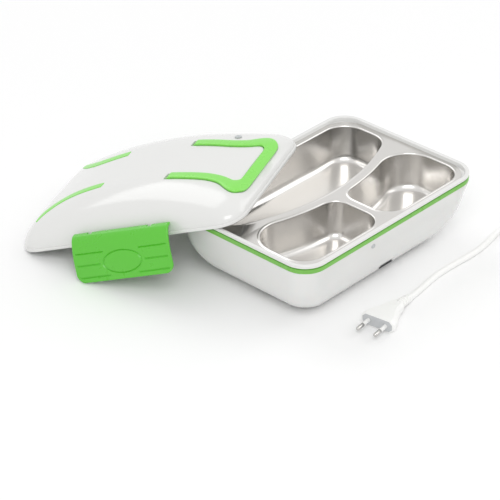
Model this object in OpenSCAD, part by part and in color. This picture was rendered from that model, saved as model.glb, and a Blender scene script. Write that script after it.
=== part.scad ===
// Electric lunch box: a heated base with a lift-out steel tray, and a domed lid
// that has been taken off and leans over one corner of the base. A detachable
// mains lead lies beside it. Millimetres, +Z up; the origin is on the floor,
// under the middle of the base. The lid's own frame has its origin in the middle
// of its rim plane, +X to the handle end and +Z to the crown of the dome.

/* [Base] */
// Length of the base over its rim
base_l = 250; // [236:1:280]
// Width of the base over its rim
base_w = 175; // [166:1:200]
// Height from the floor to the top of the rim
base_h = 74; // [72:1:84]
// Corner radius of the base in plan, at the rim
corner_r = 24; // [22:1:28]
// Thickness of the moulded base wall
base_wall = 2.6; // [2.2:0.1:3.2]
// How far the side walls lean in from rim to floor
base_draft = 14.5; // [10:0.5:18]
// Width of the rounded bilge between wall and underside
bilge_w = 30; // [26:1:31]
// Share of that width under the long walls
long_bilge = 0.75; // [0.6:0.05:1]
// Height of the rounded bilge
bilge_h = 40; // [36:1:42]
// Height of the rubber feet under the base
foot_h = 1.5; // [1:0.1:3]
// Diameter of a rubber foot
foot_d = 12; // [8:0.5:16]

/* [Rim] */
// Height of the white lip above the coloured band
lip_face_h = 3; // [2:0.1:4]
// Height of the coloured band round the rim
band_h = 5.7; // [4:0.1:7]
// Depth of the groove that holds the coloured band
band_t = 2; // [1.5:0.1:2.4]
// Width of the top of the rim lip
lip_w = 4; // [3.5:0.1:5]
// Drop from the lip to the top of the tray flange
tray_recess = 3.5; // [2.5:0.1:4.5]
// Width of the ledge that carries the tray flange
seat_w = 5; // [4:0.1:5.4]

/* [Tray] */
// Sheet thickness of the steel tray
tray_t = 0.8; // [0.6:0.1:1]
// Depth of the three food compartments
pan_depth = 38; // [30:0.5:42]
// Width of the steel flange outside the compartments
flange_w = 6.2; // [6:0.1:8]
// Width of the steel bridge between compartments
bridge_w = 11; // [9:0.5:14]
// Lean of the compartment walls over their depth
pan_draft = 2.5; // [1.5:0.1:4]
// Fillet between compartment wall and floor
pan_fillet = 8; // [5:0.5:9]
// Radius of the wavy bridge behind the front compartments
wave_r = 240; // [220:5:300]
// Front edge of the large compartment behind the middle of the tray
wave_y = -5.5; // [-12:0.5:0]

/* [Heater] */
// Thickness of the aluminium heating plate
plate_t = 2; // [1.5:0.1:3]
// Heating plate inside the rim, at each short side
plate_in_x = 30; // [28:0.5:36]
// Heating plate inside the rim, at each long side
plate_in_y = 26.5; // [24:0.5:32]
// Length of the ceramic heating element
ptc_l = 70; // [50:1:76]
// Width of the ceramic heating element
ptc_w = 30; // [20:1:34]
// Thickness of the ceramic heating element
ptc_t = 6; // [4:0.5:8]

/* [Lid] */
// Length of the lid over its rim
lid_l = 247; // [240:1:256]
// Width of the lid over its rim
lid_w = 172; // [168:1:180]
// Height of the dome above the lid's rim plane
dome_h = 38.5; // [34:0.5:42]
// Width of the lid's bottom rim
lid_rim_w = 4; // [3.5:0.1:5]
// Height of the lid's rim lip
lid_lip_h = 3; // [2:0.1:4]
// Thickness of the lid shell at the crown
lid_wall = 2.8; // [2.4:0.1:3.6]
// Radius of the long arch of the dome
arch_r = 340; // [300:5:450]
// Half width of the flat panel along the crown
panel_y = 34; // [30:1:38]
// Half length of the flat panel along the crown
panel_x = 104; // [101:1:108]
// Turn of the leaning lid about the vertical
lid_yaw = -68.3; // [-72:0.1:-64]
// Slope of the leaning lid
lid_tilt = 19.8; // [19:0.1:22]

/* [Handle and latches] */
// Thickness of the carrying handle
handle_t = 3; // [2.5:0.1:4]
// Distance of the handle hinge from the middle of the lid
hinge_x = 39; // [36:1:48]
// Depth of the groove that the handle folds into
groove_d = 1; // [0.8:0.1:1.4]
// Diameter of the handle hinge pins
pin_d = 1.8; // [1.4:0.1:2]
// Length of a side latch
latch_l = 106; // [90:1:120]
// Thickness of a side latch
latch_t = 2.4; // [2:0.1:3]
// Diameter of a latch barrel
barrel_d = 5.2; // [4.8:0.1:5.4]
// Diameter of the latch hinge rod
rod_d = 2.2; // [1.8:0.1:2.4]

/* [Mains lead] */
// Diameter of the lead
cord_d = 6; // [5:0.1:7]
// Mean radius of the stored coil
coil_r = 33; // [30:1:36]
// Length of the plug pins
plug_pin_l = 19; // [18:0.5:20]
// Spacing of the plug pins at the face
plug_pin_gap = 18.6; // [18:0.1:19]

/* [Hidden] */
$fn = 48;
gap = 0.3;                                 // running clearance between loose pieces
fit = 0.1;                                 // clearance round a pin or screw
eps = 0.01;

// ---- heights of the base, from the rim down
lip_z = base_h - lip_face_h;               // underside of the lip's outer face
shell_top = lip_z - band_h;                // top edge of the moulded base
flange_z = base_h - tray_recess;           // top of the tray flange
ledge_z = flange_z - tray_t - gap;         // ledge that carries the flange
ledge_t = 2.4;
skirt_drop = 6;                            // skirt of the rim ring inside the base wall
skirt_t = 2;
skirt_in = hull_inset(shell_top - skirt_drop - 0.8) + base_wall + gap;

// ---- tray
flange_l = base_l / 2 - lip_w - gap;       // half length of the tray flange
flange_b = base_w / 2 - lip_w - gap;       // half width of the tray flange
flange_r = corner_r + 4;
pan_x = flange_l - flange_w;               // outer end of the compartments
pan_y = flange_b - flange_w - 0.5;         // front and back of the compartments
pan_floor = flange_z - pan_depth - tray_t; // underside of the compartments
back_r = 24;                               // back corners of the large compartment
side_r = 22;                               // front corners of the large compartment
small_r = 22;                              // front outer corners of the small ones
bay_r = 30;                                // back outer corners of the small ones
inner_r = 20;                              // front inner corners
crook_r = 16;                              // back inner corners
wave_cy = wave_y + wave_r;                 // centre height of the wavy bridge
bay_x = pan_x - bay_r;

// ---- heater
plate_top = pan_floor - gap;
plate_z = plate_top - plate_t;             // underside of the heating plate
plate_a = base_l / 2 - plate_in_x;         // half sizes of the heating plate
plate_b = base_w / 2 - plate_in_y;
post_x = plate_a - 33;
post_y = plate_b - 33;
post_d = 9;
plate_screw_l = 14;
clamp_w = 14;
clamp_t = 1.2;
clamp_z = plate_z - ptc_t - clamp_t;       // underside of the heater's clamp
therm_x = -20;                             // thermostat, and the thermal fuse beside it
fuse_x = 20;
therm_y = plate_b - 23;
mat_t = 3;
screw_d = 3;
screw_head_d = 6;

// ---- bottom
cover_t = 2.4;
cover_x = base_l / 2 - hull_inset(foot_h) - 8.5;
cover_y = base_w / 2 - hull_inset_y(foot_h) - 8.5;
cover_r = 14;
cover_top = foot_h + cover_t;
ledge_in = 9;                              // ledge that the cover is screwed to
ledge_up = 2.6;
boss_x = cover_x - 6.5;
boss_y = cover_y - 6.5;
boss_h = 13;
foot_x = cover_x - 22;
foot_y = 22;
foot_plug_d = 5;                           // stem that holds a foot in the cover
mat_top = cover_top + mat_t;
wire_z = mat_top + 0.4 * (clamp_z - mat_top);   // height that the wires lie at

// ---- inlet on the hidden short side
inlet_z = 25;
inlet_face = base_l / 2 - 7.8;
inlet_l = 21;
inlet_w = 23;
inlet_h = 15;
inlet_pin_gap = 8.6;
inlet_pin_d = 2.4;
inlet_slot_r = 4.2;
inlet_depth = 16;

// ---- status lens, vent slot and finger notch
lens_x = -30.5;
lens_z = shell_top - 7.1;
lens_d = 3.6;
slot_x = 6.5;
slot_z = 14.8;
slot_l = 18;
notch_y0 = -12.5;
notch_y1 = 7.5;
notch_h = 3.6;

// ---- lid
lid_a = lid_l / 2;
lid_b = lid_w / 2;
dome_a = lid_a - 1;                        // foot of the dome, inside the rim lip
dome_b = lid_b - 1;
dome_r = corner_r - 1;
dome_p = 2.1;                               // fullness of the dome's shoulders
panel_r = panel_x - (dome_a - dome_r);     // corner radius of the crown panel
inner_b = lid_b - lid_rim_w;               // inner edge of the rim, that the lid leans on
crossing = (base_h + 0.4) / sin(lid_tilt) - lid_a;   // where both rims cross, along the lid
lean_x = inner_b * cos(lid_yaw + 90) - base_l / 2;
lean_y = base_w / 2 - inner_b * sin(lid_yaw + 90);
lid_pos = [lean_x - crossing * cos(lid_tilt) * cos(lid_yaw),
           lean_y - crossing * cos(lid_tilt) * sin(lid_yaw),
           lid_a * sin(lid_tilt)];

// ---- handle, in the lid's frame
arm_y = 34;
arm_w = 9.5;
hinge_drop = 1.4;                          // hinge pins below the dome's surface
hinge_z = dome_z(hinge_x, arm_y) - hinge_drop;
knuckle_r = 2.4;
// one half of the handle in plan, hinge to middle of the grip: outer edge, inner edge
half_handle = [[[39.6, 38.4], [39.6, 29.2]], [[56, 38.6], [56, 28.8]], [[70, 38.6], [70, 28.4]],
               [[78, 39], [78, 28.6]], [[86, 40.6], [86, 29.6]], [[92, 43], [92, 31]],
               [[97, 46.6], [96.8, 32.6]], [[102, 50.4], [101, 34.6]], [[106.8, 52.6], [104.2, 35.6]],
               [[111, 52], [106.4, 35]], [[114.6, 48.6], [108.2, 33.2]], [[116.6, 44], [109.2, 30.6]],
               [[117.4, 38], [109.5, 27]], [[117.6, 28], [109.6, 22]], [[117.6, 14], [109.6, 11]],
               [[117.6, 0], [109.6, 0]]];
// far inlay strip in plan, wide end to tip: outer edge, inner edge
half_inlay = [[[-37, 36.8], [-37, 28]], [[-50, 36.9], [-50, 27.6]], [[-64, 37.5], [-64, 27.9]],
              [[-76, 39.2], [-77.5, 29.6]], [[-87, 43], [-90, 34.2]], [[-96, 48.6], [-100, 41.6]],
              [[-102.6, 54], [-106, 49]], [[-107, 59], [-108.8, 57]]];
inlay_d = 1;

// ---- latches, in the lid's frame
rod_y = lid_b + 2.5;
rod_z = 10.5;
// outer face of a flap, from its upper edge to its lower edge, outwards and up from the rod
flap_line = [[-1.8, 3.7], [-0.4, 4.15], [1.1, 4.2], [3.2, 4], [5.2, 2.8], [7.2, 1], [9, -1.3], [11, -4.4],
             [13, -8], [15.1, -12.8], [17, -17.8], [18.6, -23], [20, -28.2], [21.2, -33], [22.4, -37.8]];
flap_low = rod_z - 37.8;                   // lower edge of the flap
latch_x = 1.5;                             // middle of the flaps along the lid
lug_x = 33;
lug_l = 4.6;
lug_d = 4.4;

// ---- mains lead
cord_r = cord_d / 2;
plug_at = [-67.5, -123.5, 6.9];            // middle of the plug's pin face
plug_turn = 8;                             // heading from the face to the lead
plug_l = 36;
sleeve_l = 26;
coil_c = [187, -137];                      // middle of the stored coil
coil_in = coil_r - cord_d;
coil_out = coil_r + cord_d;
coil_h = 2 * cord_d;
conn_at = [134, coil_c[1] - coil_r - cord_r, 6.2];
conn_l = 26;
conn_sleeve_l = 20;
// hand-set route of the loose stretch, from the plug's sleeve to the coil
lead_route = [[-6.5, -115, 3.4], [0, -114, 3.1], [8, -113, 3], [20, -111, 3], [34, -109, 3], [50, -108.4, 3],
              [66, -108.8, 3], [82, -109.6, 3], [96, -109.8, 3], [110, -108.6, 3], [124, -106, 3],
              [138, -103.2, 3], [152, -101.8, 3], [164, -101.2, 3], [176, -101, 3]];
tail_route = [[154, -173, 6], [160, -173, 6.8], [166, -173, 7.8], [172, -173, 8.6], [178, -173, 9]];

// ================= shared shapes =================

// points along an arc from angle a0 to a1 in n steps
function arc(cx, cy, r, a0, a1, n) =
    [for (i = [0:n]) let (a = a0 + (a1 - a0) * i / n) [cx + r * cos(a), cy + r * sin(a)]];

// rounded rectangle of half sizes a, b, with the long sides cut into m parts
function rounded(a, b, r, n = 5, m = 1) = concat(
    arc(a - r, b - r, r, 0, 90, n),
    [for (i = [1:1:m - 1]) [(a - r) * (1 - 2 * i / m), b]],
    arc(r - a, b - r, r, 90, 180, n),
    arc(r - a, r - b, r, 180, 270, n),
    [for (i = [1:1:m - 1]) [(r - a) * (1 - 2 * i / m), -b]],
    arc(a - r, r - b, r, 270, 360, n));

function lift(ring, z) = [for (p = ring) [p[0], p[1], z]];

// closed solid through a stack of equal rings, each anticlockwise from above
module loft(rings) {
    n = len(rings[0]);
    m = len(rings);
    polyhedron(points = [for (r = rings) each r],
        faces = concat([[for (i = [0:n - 1]) i]],
            [for (k = [0:m - 2], i = [0:n - 1], t = [0, 1]) let (j = (i + 1) % n)
                t == 0 ? [k * n + i, (k + 1) * n + i, (k + 1) * n + j]
                       : [k * n + i, (k + 1) * n + j, k * n + j]],
            [[for (i = [n - 1:-1:0]) (m - 1) * n + i]]), convexity = 8);
}

// exact rounded rectangle
module plate2d(a, b, r) {
    square([2 * (a - r), 2 * b], center = true);
    square([2 * a, 2 * (b - r)], center = true);
    for (x = [-1, 1], y = [-1, 1]) translate([x * (a - r), y * (b - r)]) circle(r = r);
}

// upright slab that follows the rim outline between two insets and two heights
module rim_slab(z0, z1, i0, i1) {
    translate([0, 0, z0]) linear_extrude(z1 - z0) difference() {
        plate2d(base_l / 2 - i0, base_w / 2 - i0, corner_r - i0);
        plate2d(base_l / 2 - i1, base_w / 2 - i1, corner_r - i1);
    }
}

function unit(v) = v / norm(v);
function tangent(p, i) = unit(p[min(i + 1, len(p) - 1)] - p[max(i - 1, 0)]);

// round tube through the points p, with k sides
module tube(p, r, k = 8) {
    rings = [for (i = [0:len(p) - 1]) let (t = tangent(p, i), s = unit(cross(t, [0, 0, 1])), u = cross(s, t))
        [for (j = [0:k - 1]) p[i] + r * (cos(360 * j / k) * s + sin(360 * j / k) * u)]];
    loft(rings);
}

// smooth curve through control points, m steps to each span
function smooth(c, m) = let (n = len(c)) concat([for (i = [0:n - 2], k = [0:m - 1])
    let (t = k / m, a = c[max(i - 1, 0)], b = c[i], d = c[i + 1], e = c[min(i + 2, n - 1)])
    0.5 * (2 * b + (d - a) * t + (2 * a - 5 * b + 4 * d - e) * t * t + (3 * b - a - 3 * d + e) * t * t * t)],
    [c[n - 1]]);

// ================= base =================

// how far the base's outer face lies inside the rim outline at height z: lean of the wall, then
// the bilge, which is a share narrower under the long walls
function hull_lean(z) = base_draft * (base_h - lip_face_h - band_h - z) / (base_h - lip_face_h - band_h);
function hull_bilge(z) = z < bilge_h ? bilge_w * (1 - sqrt(1 - pow((bilge_h - max(z, 0)) / bilge_h, 2))) : 0;
function hull_inset(z) = hull_lean(z) + hull_bilge(z);
function hull_inset_y(z) = hull_lean(z) + long_bilge * hull_bilge(z);

function hull_ring(z, i) = let (d = hull_inset(z) + i)
    rounded(base_l / 2 - d, base_w / 2 - hull_inset_y(z) - i, corner_r - 0.08 * d, 6);

module base_shell() {
    floor_z = cover_top + ledge_up;        // the ledge that carries the cover
    outer_z = concat([for (k = [0, 3, 8, 15, 25, 37, 51, 65]) foot_h + (bilge_h - foot_h) * k / 65],
                     [(bilge_h + shell_top) / 2, shell_top]);
    inner_z = concat([for (k = [0, 3.5, 8.5, 14.5, 21.5, 27.5]) floor_z + (bilge_h - floor_z) * k / 27.5],
                     [shell_top + 1]);
    color("#eeeeeb") difference() {
        union() {
            difference() {
                loft([for (z = outer_z) lift(hull_ring(z, 0), z)]);
                loft([for (z = inner_z) lift(hull_ring(min(z - 0.8, shell_top), base_wall), z)]);
            }
            for (x = [-1, 1], y = [-1, 1]) translate([x * boss_x, y * boss_y, cover_top + gap])
                cylinder(d = screw_d + 5, h = boss_h - cover_top);
        }
        // opening for the bottom cover, and the narrower way in above its ledge
        translate([0, 0, foot_h - 1]) linear_extrude(cover_t + gap + 1)
            plate2d(cover_x + gap, cover_y + gap, cover_r + gap);
        difference() {
            translate([0, 0, foot_h]) linear_extrude(cover_t + ledge_up + 1)
                plate2d(cover_x - ledge_in, cover_y - ledge_in, cover_r - 4);
            for (x = [-1, 1], y = [-1, 1]) translate([x * boss_x, y * boss_y, 0])
                cylinder(d = screw_d + 5, h = boss_h);
        }
        for (x = [-1, 1], y = [-1, 1]) translate([x * boss_x, y * boss_y, 0])
            cylinder(d = screw_d + 2 * fit, h = boss_h - 1);
        translate([inlet_face - inlet_l, -inlet_w / 2 - gap, inlet_z - inlet_h / 2 - gap])
            cube([inlet_l + 12, inlet_w + 2 * gap, inlet_h + 2 * gap]);
        translate([lens_x, -base_w / 2 - 1, lens_z]) rotate([-90, 0, 0])
            cylinder(d = lens_d + 2 * gap, h = 8);
        translate([slot_x - slot_l / 2, -base_w / 2, slot_z - 1]) cube([slot_l, 24, 2]);
        translate([-base_l / 2, notch_y0, 0]) cube([base_l / 2 - cover_x - 2, notch_y1 - notch_y0, foot_h + notch_h]);
    }
}

module rim_ring() {
    color("#f3f3f1") {
        rim_slab(lip_z, base_h, 0, lip_w);
        rim_slab(ledge_z - ledge_t, lip_z, band_t, lip_w);
        rim_slab(shell_top, ledge_z - ledge_t, band_t, skirt_in + skirt_t + 1.7);
        rim_slab(ledge_z - ledge_t, ledge_z, lip_w, lip_w + seat_w);
        // skirt inside the tub wall, notched behind the status lens
        difference() {
            translate([0, 0, shell_top - skirt_drop]) linear_extrude(skirt_drop) difference() {
                plate2d(base_l / 2 - skirt_in, base_w / 2 - skirt_in, corner_r);
                plate2d(base_l / 2 - skirt_in - skirt_t, base_w / 2 - skirt_in - skirt_t, corner_r - skirt_t);
            }
            translate([lens_x - 9, -base_w / 2, 0]) cube([18, 16, shell_top - 1]);
        }
    }
}

module trim_band() {
    color("#5fb848") difference() {
        rim_slab(shell_top, lip_z, 0, band_t);
        rim_slab(lip_z - 1.5, lip_z - 0.9, -1, 0.6);
    }
}

module bottom_cover() {
    color("#dcdcd8") difference() {
        union() {
            translate([0, 0, foot_h]) linear_extrude(cover_t) plate2d(cover_x, cover_y, cover_r);
            for (x = [-1, 1], y = [-1, 1]) translate([x * post_x, y * post_y, foot_h])
                cylinder(d = post_d, h = plate_z - gap - foot_h);
        }
        for (x = [-1, 1], y = [-1, 1]) {
            translate([x * boss_x, y * boss_y, 0]) cylinder(d = screw_d + 2 * fit, h = cover_top + 1);
            translate([x * boss_x, y * boss_y, 0]) cylinder(d = screw_head_d + 2 * fit, h = foot_h + 1.4);
            translate([x * post_x, y * post_y, cover_top + 4]) cylinder(d = screw_d + 2 * fit, h = plate_z);
        }
        for (x = [-1, 1], y = [-1, 1]) translate([x * foot_x, y * foot_y, 0])
            cylinder(d = foot_plug_d + 2 * fit, h = cover_top + 1);
        for (i = [-2:2]) translate([i * 14, 0, 0]) cube([3, 34, 20], center = true);
    }
}

module rubber_feet() {
    color("#8d8f90") for (x = [-1, 1], y = [-1, 1]) translate([x * foot_x, y * foot_y, 0]) {
        cylinder(d = foot_d, h = foot_h);
        cylinder(d = foot_plug_d, h = cover_top);
    }
}

// screw with its head down at z = 0
module screw_up(l, head_h = 1.3) {
    cylinder(d = screw_head_d, h = head_h);
    cylinder(d = screw_d, h = l);
}

module cover_screws() {
    color("silver") for (x = [-1, 1], y = [-1, 1]) translate([x * boss_x, y * boss_y, foot_h + 0.1])
        screw_up(boss_h - 3);
}

module insulation_mat() {
    color("#e9e3d2") translate([0, 0, cover_top]) linear_extrude(mat_t) difference() {
        plate2d(post_x - post_d, post_y + 2, 6);
        square([18, 16], center = true);
    }
}

module heating_plate() {
    color("#c9ccce") difference() {
        translate([0, 0, plate_z]) linear_extrude(plate_t) plate2d(plate_a, plate_b, 18);
        for (x = [-1, 1], y = [-1, 1]) translate([x * post_x, y * post_y, plate_z - 1]) {
            cylinder(d = screw_d + 2 * fit, h = plate_t + 2);
            translate([0, 0, plate_t - 0.3]) cylinder(d = screw_head_d + 2 * fit, h = 2);
        }
        for (x = [-1, 1]) translate([x * (ptc_l / 2 + 8), 0, plate_z - 1])
            cylinder(d = screw_d - 0.5 + 2 * fit, h = plate_t);
    }
}

module plate_screws() {
    color("silver") for (x = [-1, 1], y = [-1, 1])
        translate([x * post_x, y * post_y, plate_top - 0.1]) mirror([0, 0, 1]) screw_up(plate_screw_l, 1.1);
}

module ptc_heater() {
    color("#b9a98c") difference() {
        translate([-ptc_l / 2, -ptc_w / 2, plate_z - ptc_t]) cube([ptc_l, ptc_w, ptc_t]);
        for (i = [-2:2]) translate([i * ptc_l / 6 - 1, -ptc_w / 2 - 1, plate_z - ptc_t - 1])
            cube([2, ptc_w + 2, 2]);
    }
}

module heater_clamp() {
    color("#a8abae") translate([0, -clamp_w / 2, 0]) difference() {
        union() {
            translate([-ptc_l / 2 - 2, 0, clamp_z]) cube([ptc_l + 4, clamp_w, clamp_t]);
            for (x = [-1, 1]) translate([x * (ptc_l / 2 + 2 - clamp_t / 2) - clamp_t / 2, 0, clamp_z])
                cube([clamp_t, clamp_w, ptc_t + clamp_t]);
            for (x = [-1, 1]) translate([x * (ptc_l / 2 + 7.4) - 6.6, 0, plate_z - clamp_t])
                cube([13.2, clamp_w, clamp_t]);
        }
        for (x = [-1, 1]) translate([x * (ptc_l / 2 + 8), clamp_w / 2, plate_z - 3])
            cylinder(d = screw_d - 0.5 + 2 * fit, h = 4);
    }
}

module clamp_screws() {
    color("silver") for (x = [-1, 1]) translate([x * (ptc_l / 2 + 8), 0, plate_z - clamp_t - 1.8]) {
        cylinder(d = screw_d - 0.5, h = 1.8 + clamp_t + plate_t - 1.1);
        cylinder(d = screw_head_d - 1, h = 1.8);
    }
}

module thermostat() {
    translate([therm_x, therm_y, plate_z]) mirror([0, 0, 1]) {
        color("#6b4a35") cylinder(d = 15, h = 7);
        color("silver") translate([0, 0, 6.5]) for (x = [-3.6, 2.8]) translate([x, -2, 0]) cube([0.8, 4, 7]);
    }
}

module thermal_fuse() {
    color("#e7e2d8") translate([fuse_x, therm_y, plate_z - 2.2]) rotate([0, 90, 0]) cylinder(d = 4.2, h = 20, center = true);
}

module inlet_socket() {
    color("#2f3133") difference() {
        translate([inlet_face - inlet_l, -inlet_w / 2, inlet_z - inlet_h / 2]) cube([inlet_l, inlet_w, inlet_h]);
        translate([inlet_face - inlet_depth, 0, inlet_z]) rotate([90, 0, 90]) linear_extrude(inlet_depth + 1) {
            for (s = [-1, 1]) translate([s * inlet_pin_gap / 2, 0]) circle(r = inlet_slot_r);
            square([inlet_pin_gap, 2 * inlet_slot_r - 1.4], center = true);
        }
        for (s = [-1, 1]) translate([inlet_face - inlet_l - 1, s * inlet_pin_gap / 2, inlet_z])
            rotate([0, 90, 0]) cylinder(d = inlet_pin_d + 0.1, h = inlet_l);
    }
}

module inlet_pins() {
    color("silver") for (s = [-1, 1]) translate([inlet_face - inlet_l - 5, s * inlet_pin_gap / 2, inlet_z])
        rotate([0, 90, 0]) cylinder(d = inlet_pin_d, h = inlet_l + 1);
}

wire_r = 1.1;
pin_back = inlet_face - inlet_l - 5;
live_route = smooth([[pin_back - 0.6, inlet_pin_gap / 2, inlet_z], [pin_back - 7.2, 8, inlet_z - 2],
    [pin_back - 19.2, 16, wire_z + 4], [pin_back - 37.2, 24, wire_z + 1], [ptc_l / 2 + 1, therm_y - 8, wire_z],
    [therm_x + 34, therm_y - 2, wire_z], [therm_x + 14, therm_y, wire_z + 0.5], [therm_x + 6, therm_y, wire_z + 0.6]], 2);
neutral_route = smooth([[pin_back - 0.6, -inlet_pin_gap / 2, inlet_z], [pin_back - 7.2, -8, inlet_z - 3],
    [pin_back - 19.2, -14, wire_z + 3], [pin_back - 31.2, -18, wire_z], [ptc_l / 2 + 11, -20, wire_z + 2],
    [ptc_l / 2 + 7, -19, plate_z - 8], [ptc_l / 2 + 3.6, -17.6, plate_z - 4], [ptc_l / 2 + 0.9, -12, plate_z - 3]], 2);
fuse_route = smooth([[therm_x - 6.5, therm_y, wire_z + 0.6], [therm_x - 14, therm_y - 2, wire_z - 0.6],
    [-ptc_l / 2 - 5, therm_y - 10, wire_z], [-ptc_l / 2 - 9, therm_y - 20, wire_z + 5], [-ptc_l / 2 - 6, 12, plate_z - 4],
    [-ptc_l / 2 - 0.4, 10.5, plate_z - 3.2]], 2);

module live_wire() { color("#7a4a2a") tube(live_route, wire_r); }
module neutral_wire() { color("#3568b0") tube(neutral_route, wire_r); }
module fuse_wire() { color("#c9443a") tube(fuse_route, wire_r); }

module status_lens() {
    lens_y = -base_w / 2 + hull_inset_y(lens_z);
    color("#9ea1a3") translate([lens_x, lens_y - 0.5, lens_z]) rotate([-90, 0, 0]) {
        cylinder(d = lens_d, h = base_wall + 1.9);
        translate([0, 0, base_wall + 1.7]) cylinder(d = lens_d + 2, h = 0.8);
    }
}

module status_board() {
    lens_y = -base_w / 2 + hull_inset_y(lens_z);
    color("#2f7a4a") translate([lens_x - 7, lens_y + base_wall + 2, lens_z - 7]) cube([14, 1.4, 11]);
}

// ================= tray =================

// outline of the large compartment, drawn inwards by d
function big_pan(d) = let (
        r = side_r, cx = pan_x - 2 - r, cy = wave_cy - sqrt(pow(wave_r - r, 2) - cx * cx),
        a = atan2(cy - wave_cy, cx), x = pan_x - 2)
    concat(arc(x - back_r, pan_y - back_r, back_r - d, 0, 90, 5),
           arc(back_r - x, pan_y - back_r, back_r - d, 90, 180, 5),
           arc(-cx, cy, r - d, 180, 180 - a, 5),
           arc(0, wave_cy, wave_r - d, -180 - a + 2, a - 2, 10),
           arc(cx, cy, r - d, a, 0, 5));

// outline of the right front compartment, drawn inwards by d
function small_pan(d) = let (
        x0 = bridge_w / 2, r = wave_r + bridge_w,
        by = wave_cy - sqrt(pow(r + bay_r, 2) - bay_x * bay_x), ba = atan2(by - wave_cy, bay_x),
        kx = x0 + crook_r, ky = wave_cy - sqrt(pow(r + crook_r, 2) - kx * kx), ka = atan2(ky - wave_cy, kx))
    concat(arc(pan_x - small_r, small_r - pan_y, small_r - d, -90, 0, 5),
           arc(bay_x, by, bay_r - d, 0, ba + 180, 7),
           arc(0, wave_cy, r + d, ba - 1.5, ka + 1, 5),
           arc(kx, ky, crook_r - d, ka + 180, 180, 4),
           arc(x0 + inner_r, inner_r - pan_y, inner_r - d, 180, 270, 5));

// stack of [inset, depth] from the floor of a compartment up to its mouth
pan_steps = concat([for (a = [90, 60, 30]) [pan_draft + pan_fillet * (1 - cos(a)),
                                           pan_depth - pan_fillet * (1 - sin(a))]],
                   [[pan_draft, pan_depth - pan_fillet], [0, 0]]);

// t thickens the compartment outwards; up lifts its mouth
module pan(which, t, up) {
    loft([for (s = pan_steps) lift(which == 0 ? big_pan(s[0] - t) : small_pan(s[0] - t),
        flange_z - s[1] - t + (s[1] == 0 ? t + up : 0))]);
}

module pans(t, up) {
    pan(0, t, up);
    pan(1, t, up);
    mirror([1, 0, 0]) pan(1, t, up);
}

module food_tray() {
    color("#c4c2bf") difference() {
        union() {
            translate([0, 0, flange_z - tray_t]) linear_extrude(tray_t) plate2d(flange_l, flange_b, flange_r);
            pans(tray_t, -tray_t / 2);
        }
        pans(0, 1);
    }
}

// ================= lid =================

// crown height of the dome along its length
function crown(x) = dome_h - x * x / (2 * arch_r);

// ring s of the dome: 0 at the crown panel, 1 at the foot, drawn inwards by t
function dome_ring(s, t, drop) = let (
        o = rounded(dome_a - t, dome_b - t, dome_r - t, 5, 10),
        c = rounded(panel_x - t / 2, panel_y - t / 2, max(panel_r - t / 2, 1), 5, 10),
        h = pow(1 - pow(s, dome_p), 1 / dome_p))
    [for (i = [0:len(o) - 1]) let (p = c[i] + (o[i] - c[i]) * s)
        [p[0], p[1], lid_lip_h + (crown(p[0]) - lid_lip_h) * h - drop]];

// closed shell between an inner and an outer skin, joined round the foot; each skin is a
// stack of rings from foot to crown, closed over its crown panel by strips from side to side
module skins(inner, outer) {
    n = len(outer[0]);
    rings = concat([for (i = [len(inner) - 1:-1:0]) inner[i]], outer);
    m = len(rings);
    q = (m - 1) * n;
    polyhedron(points = [for (r = rings) each r],
        faces = concat(
            [for (i = [0:n / 2 - 2], t = [0, 1]) let (a = i, b = a + 1, c = n - 1 - i, d = c - 1)
                t == 0 ? [a, b, c] : [b, d, c]],
            [for (k = [0:m - 2], i = [0:n - 1], t = [0, 1]) let (j = (i + 1) % n)
                t == 0 ? [k * n + i, (k + 1) * n + i, (k + 1) * n + j]
                       : [k * n + i, (k + 1) * n + j, k * n + j]],
            [for (i = [0:n / 2 - 2], t = [0, 1]) let (a = q + i, b = a + 1, c = q + n - 1 - i, d = c - 1)
                t == 0 ? [b, a, c] : [b, c, d]]), convexity = 10);
}

dome_steps = [0.995, 0.97, 0.91, 0.8, 0.65, 0.48, 0.3, 0.12, 0];
liner_steps = [0.86, 0.75, 0.6, 0.4, 0.2, 0];
lid_inset = lid_rim_w - 1;                 // dome wall at its foot

outer_skin = concat([lift(rounded(lid_a, lid_b, corner_r, 5, 10), 0),
                     lift(rounded(lid_a, lid_b, corner_r, 5, 10), lid_lip_h), dome_ring(1, 0, 0)],
                    [for (s = dome_steps) dome_ring(s, 0, 0)]);
inner_skin = concat([lift(rounded(dome_a - lid_inset, dome_b - lid_inset, dome_r - lid_inset, 5, 10), 0)],
                    [for (s = dome_steps) dome_ring(s, lid_inset, lid_wall)]);

// a sculpted skin and what is cut into it, as one mesh of its own size
module sculpted() {
    resize([0, 0, 0]) children();
}

// place of the lid as it leans on the base
module lid_pose() {
    translate(lid_pos) rotate([0, 0, lid_yaw]) rotate([0, -lid_tilt, 0]) children();
}

// s for a point on the dome: 0 at the crown panel, 1 at the foot
function dome_s(x, y) = let (ax = abs(x), ay = abs(y), sx = dome_a - dome_r,
        s1 = max(0, (ax - panel_x) / (dome_a - panel_x)),
        k = (dome_b - dome_r) - (panel_y - panel_r), g = dome_r - panel_r,
        px = ax - sx, py = ay - (panel_y - panel_r),
        qa = k * k - g * g, qb = 2 * k * py + 2 * panel_r * g, qc = px * px + py * py - panel_r * panel_r)
    ax <= sx ? max(0, (ay - panel_y) / (dome_b - panel_y))
    : ay <= (panel_y - panel_r) + k * s1 ? s1
    : max(0, min(1, (qb - sqrt(max(0, qb * qb - 4 * qa * qc))) / (2 * qa)));

function dome_z(x, y) = lid_lip_h + (crown(x) - lid_lip_h)
    * pow(1 - pow(min(dome_s(x, y), 0.999), dome_p), 1 / dome_p);

function dome_normal(x, y) = unit([dome_z(x - 0.5, y) - dome_z(x + 0.5, y),
                                   dome_z(x, y - 0.5) - dome_z(x, y + 0.5), 1]);

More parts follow.
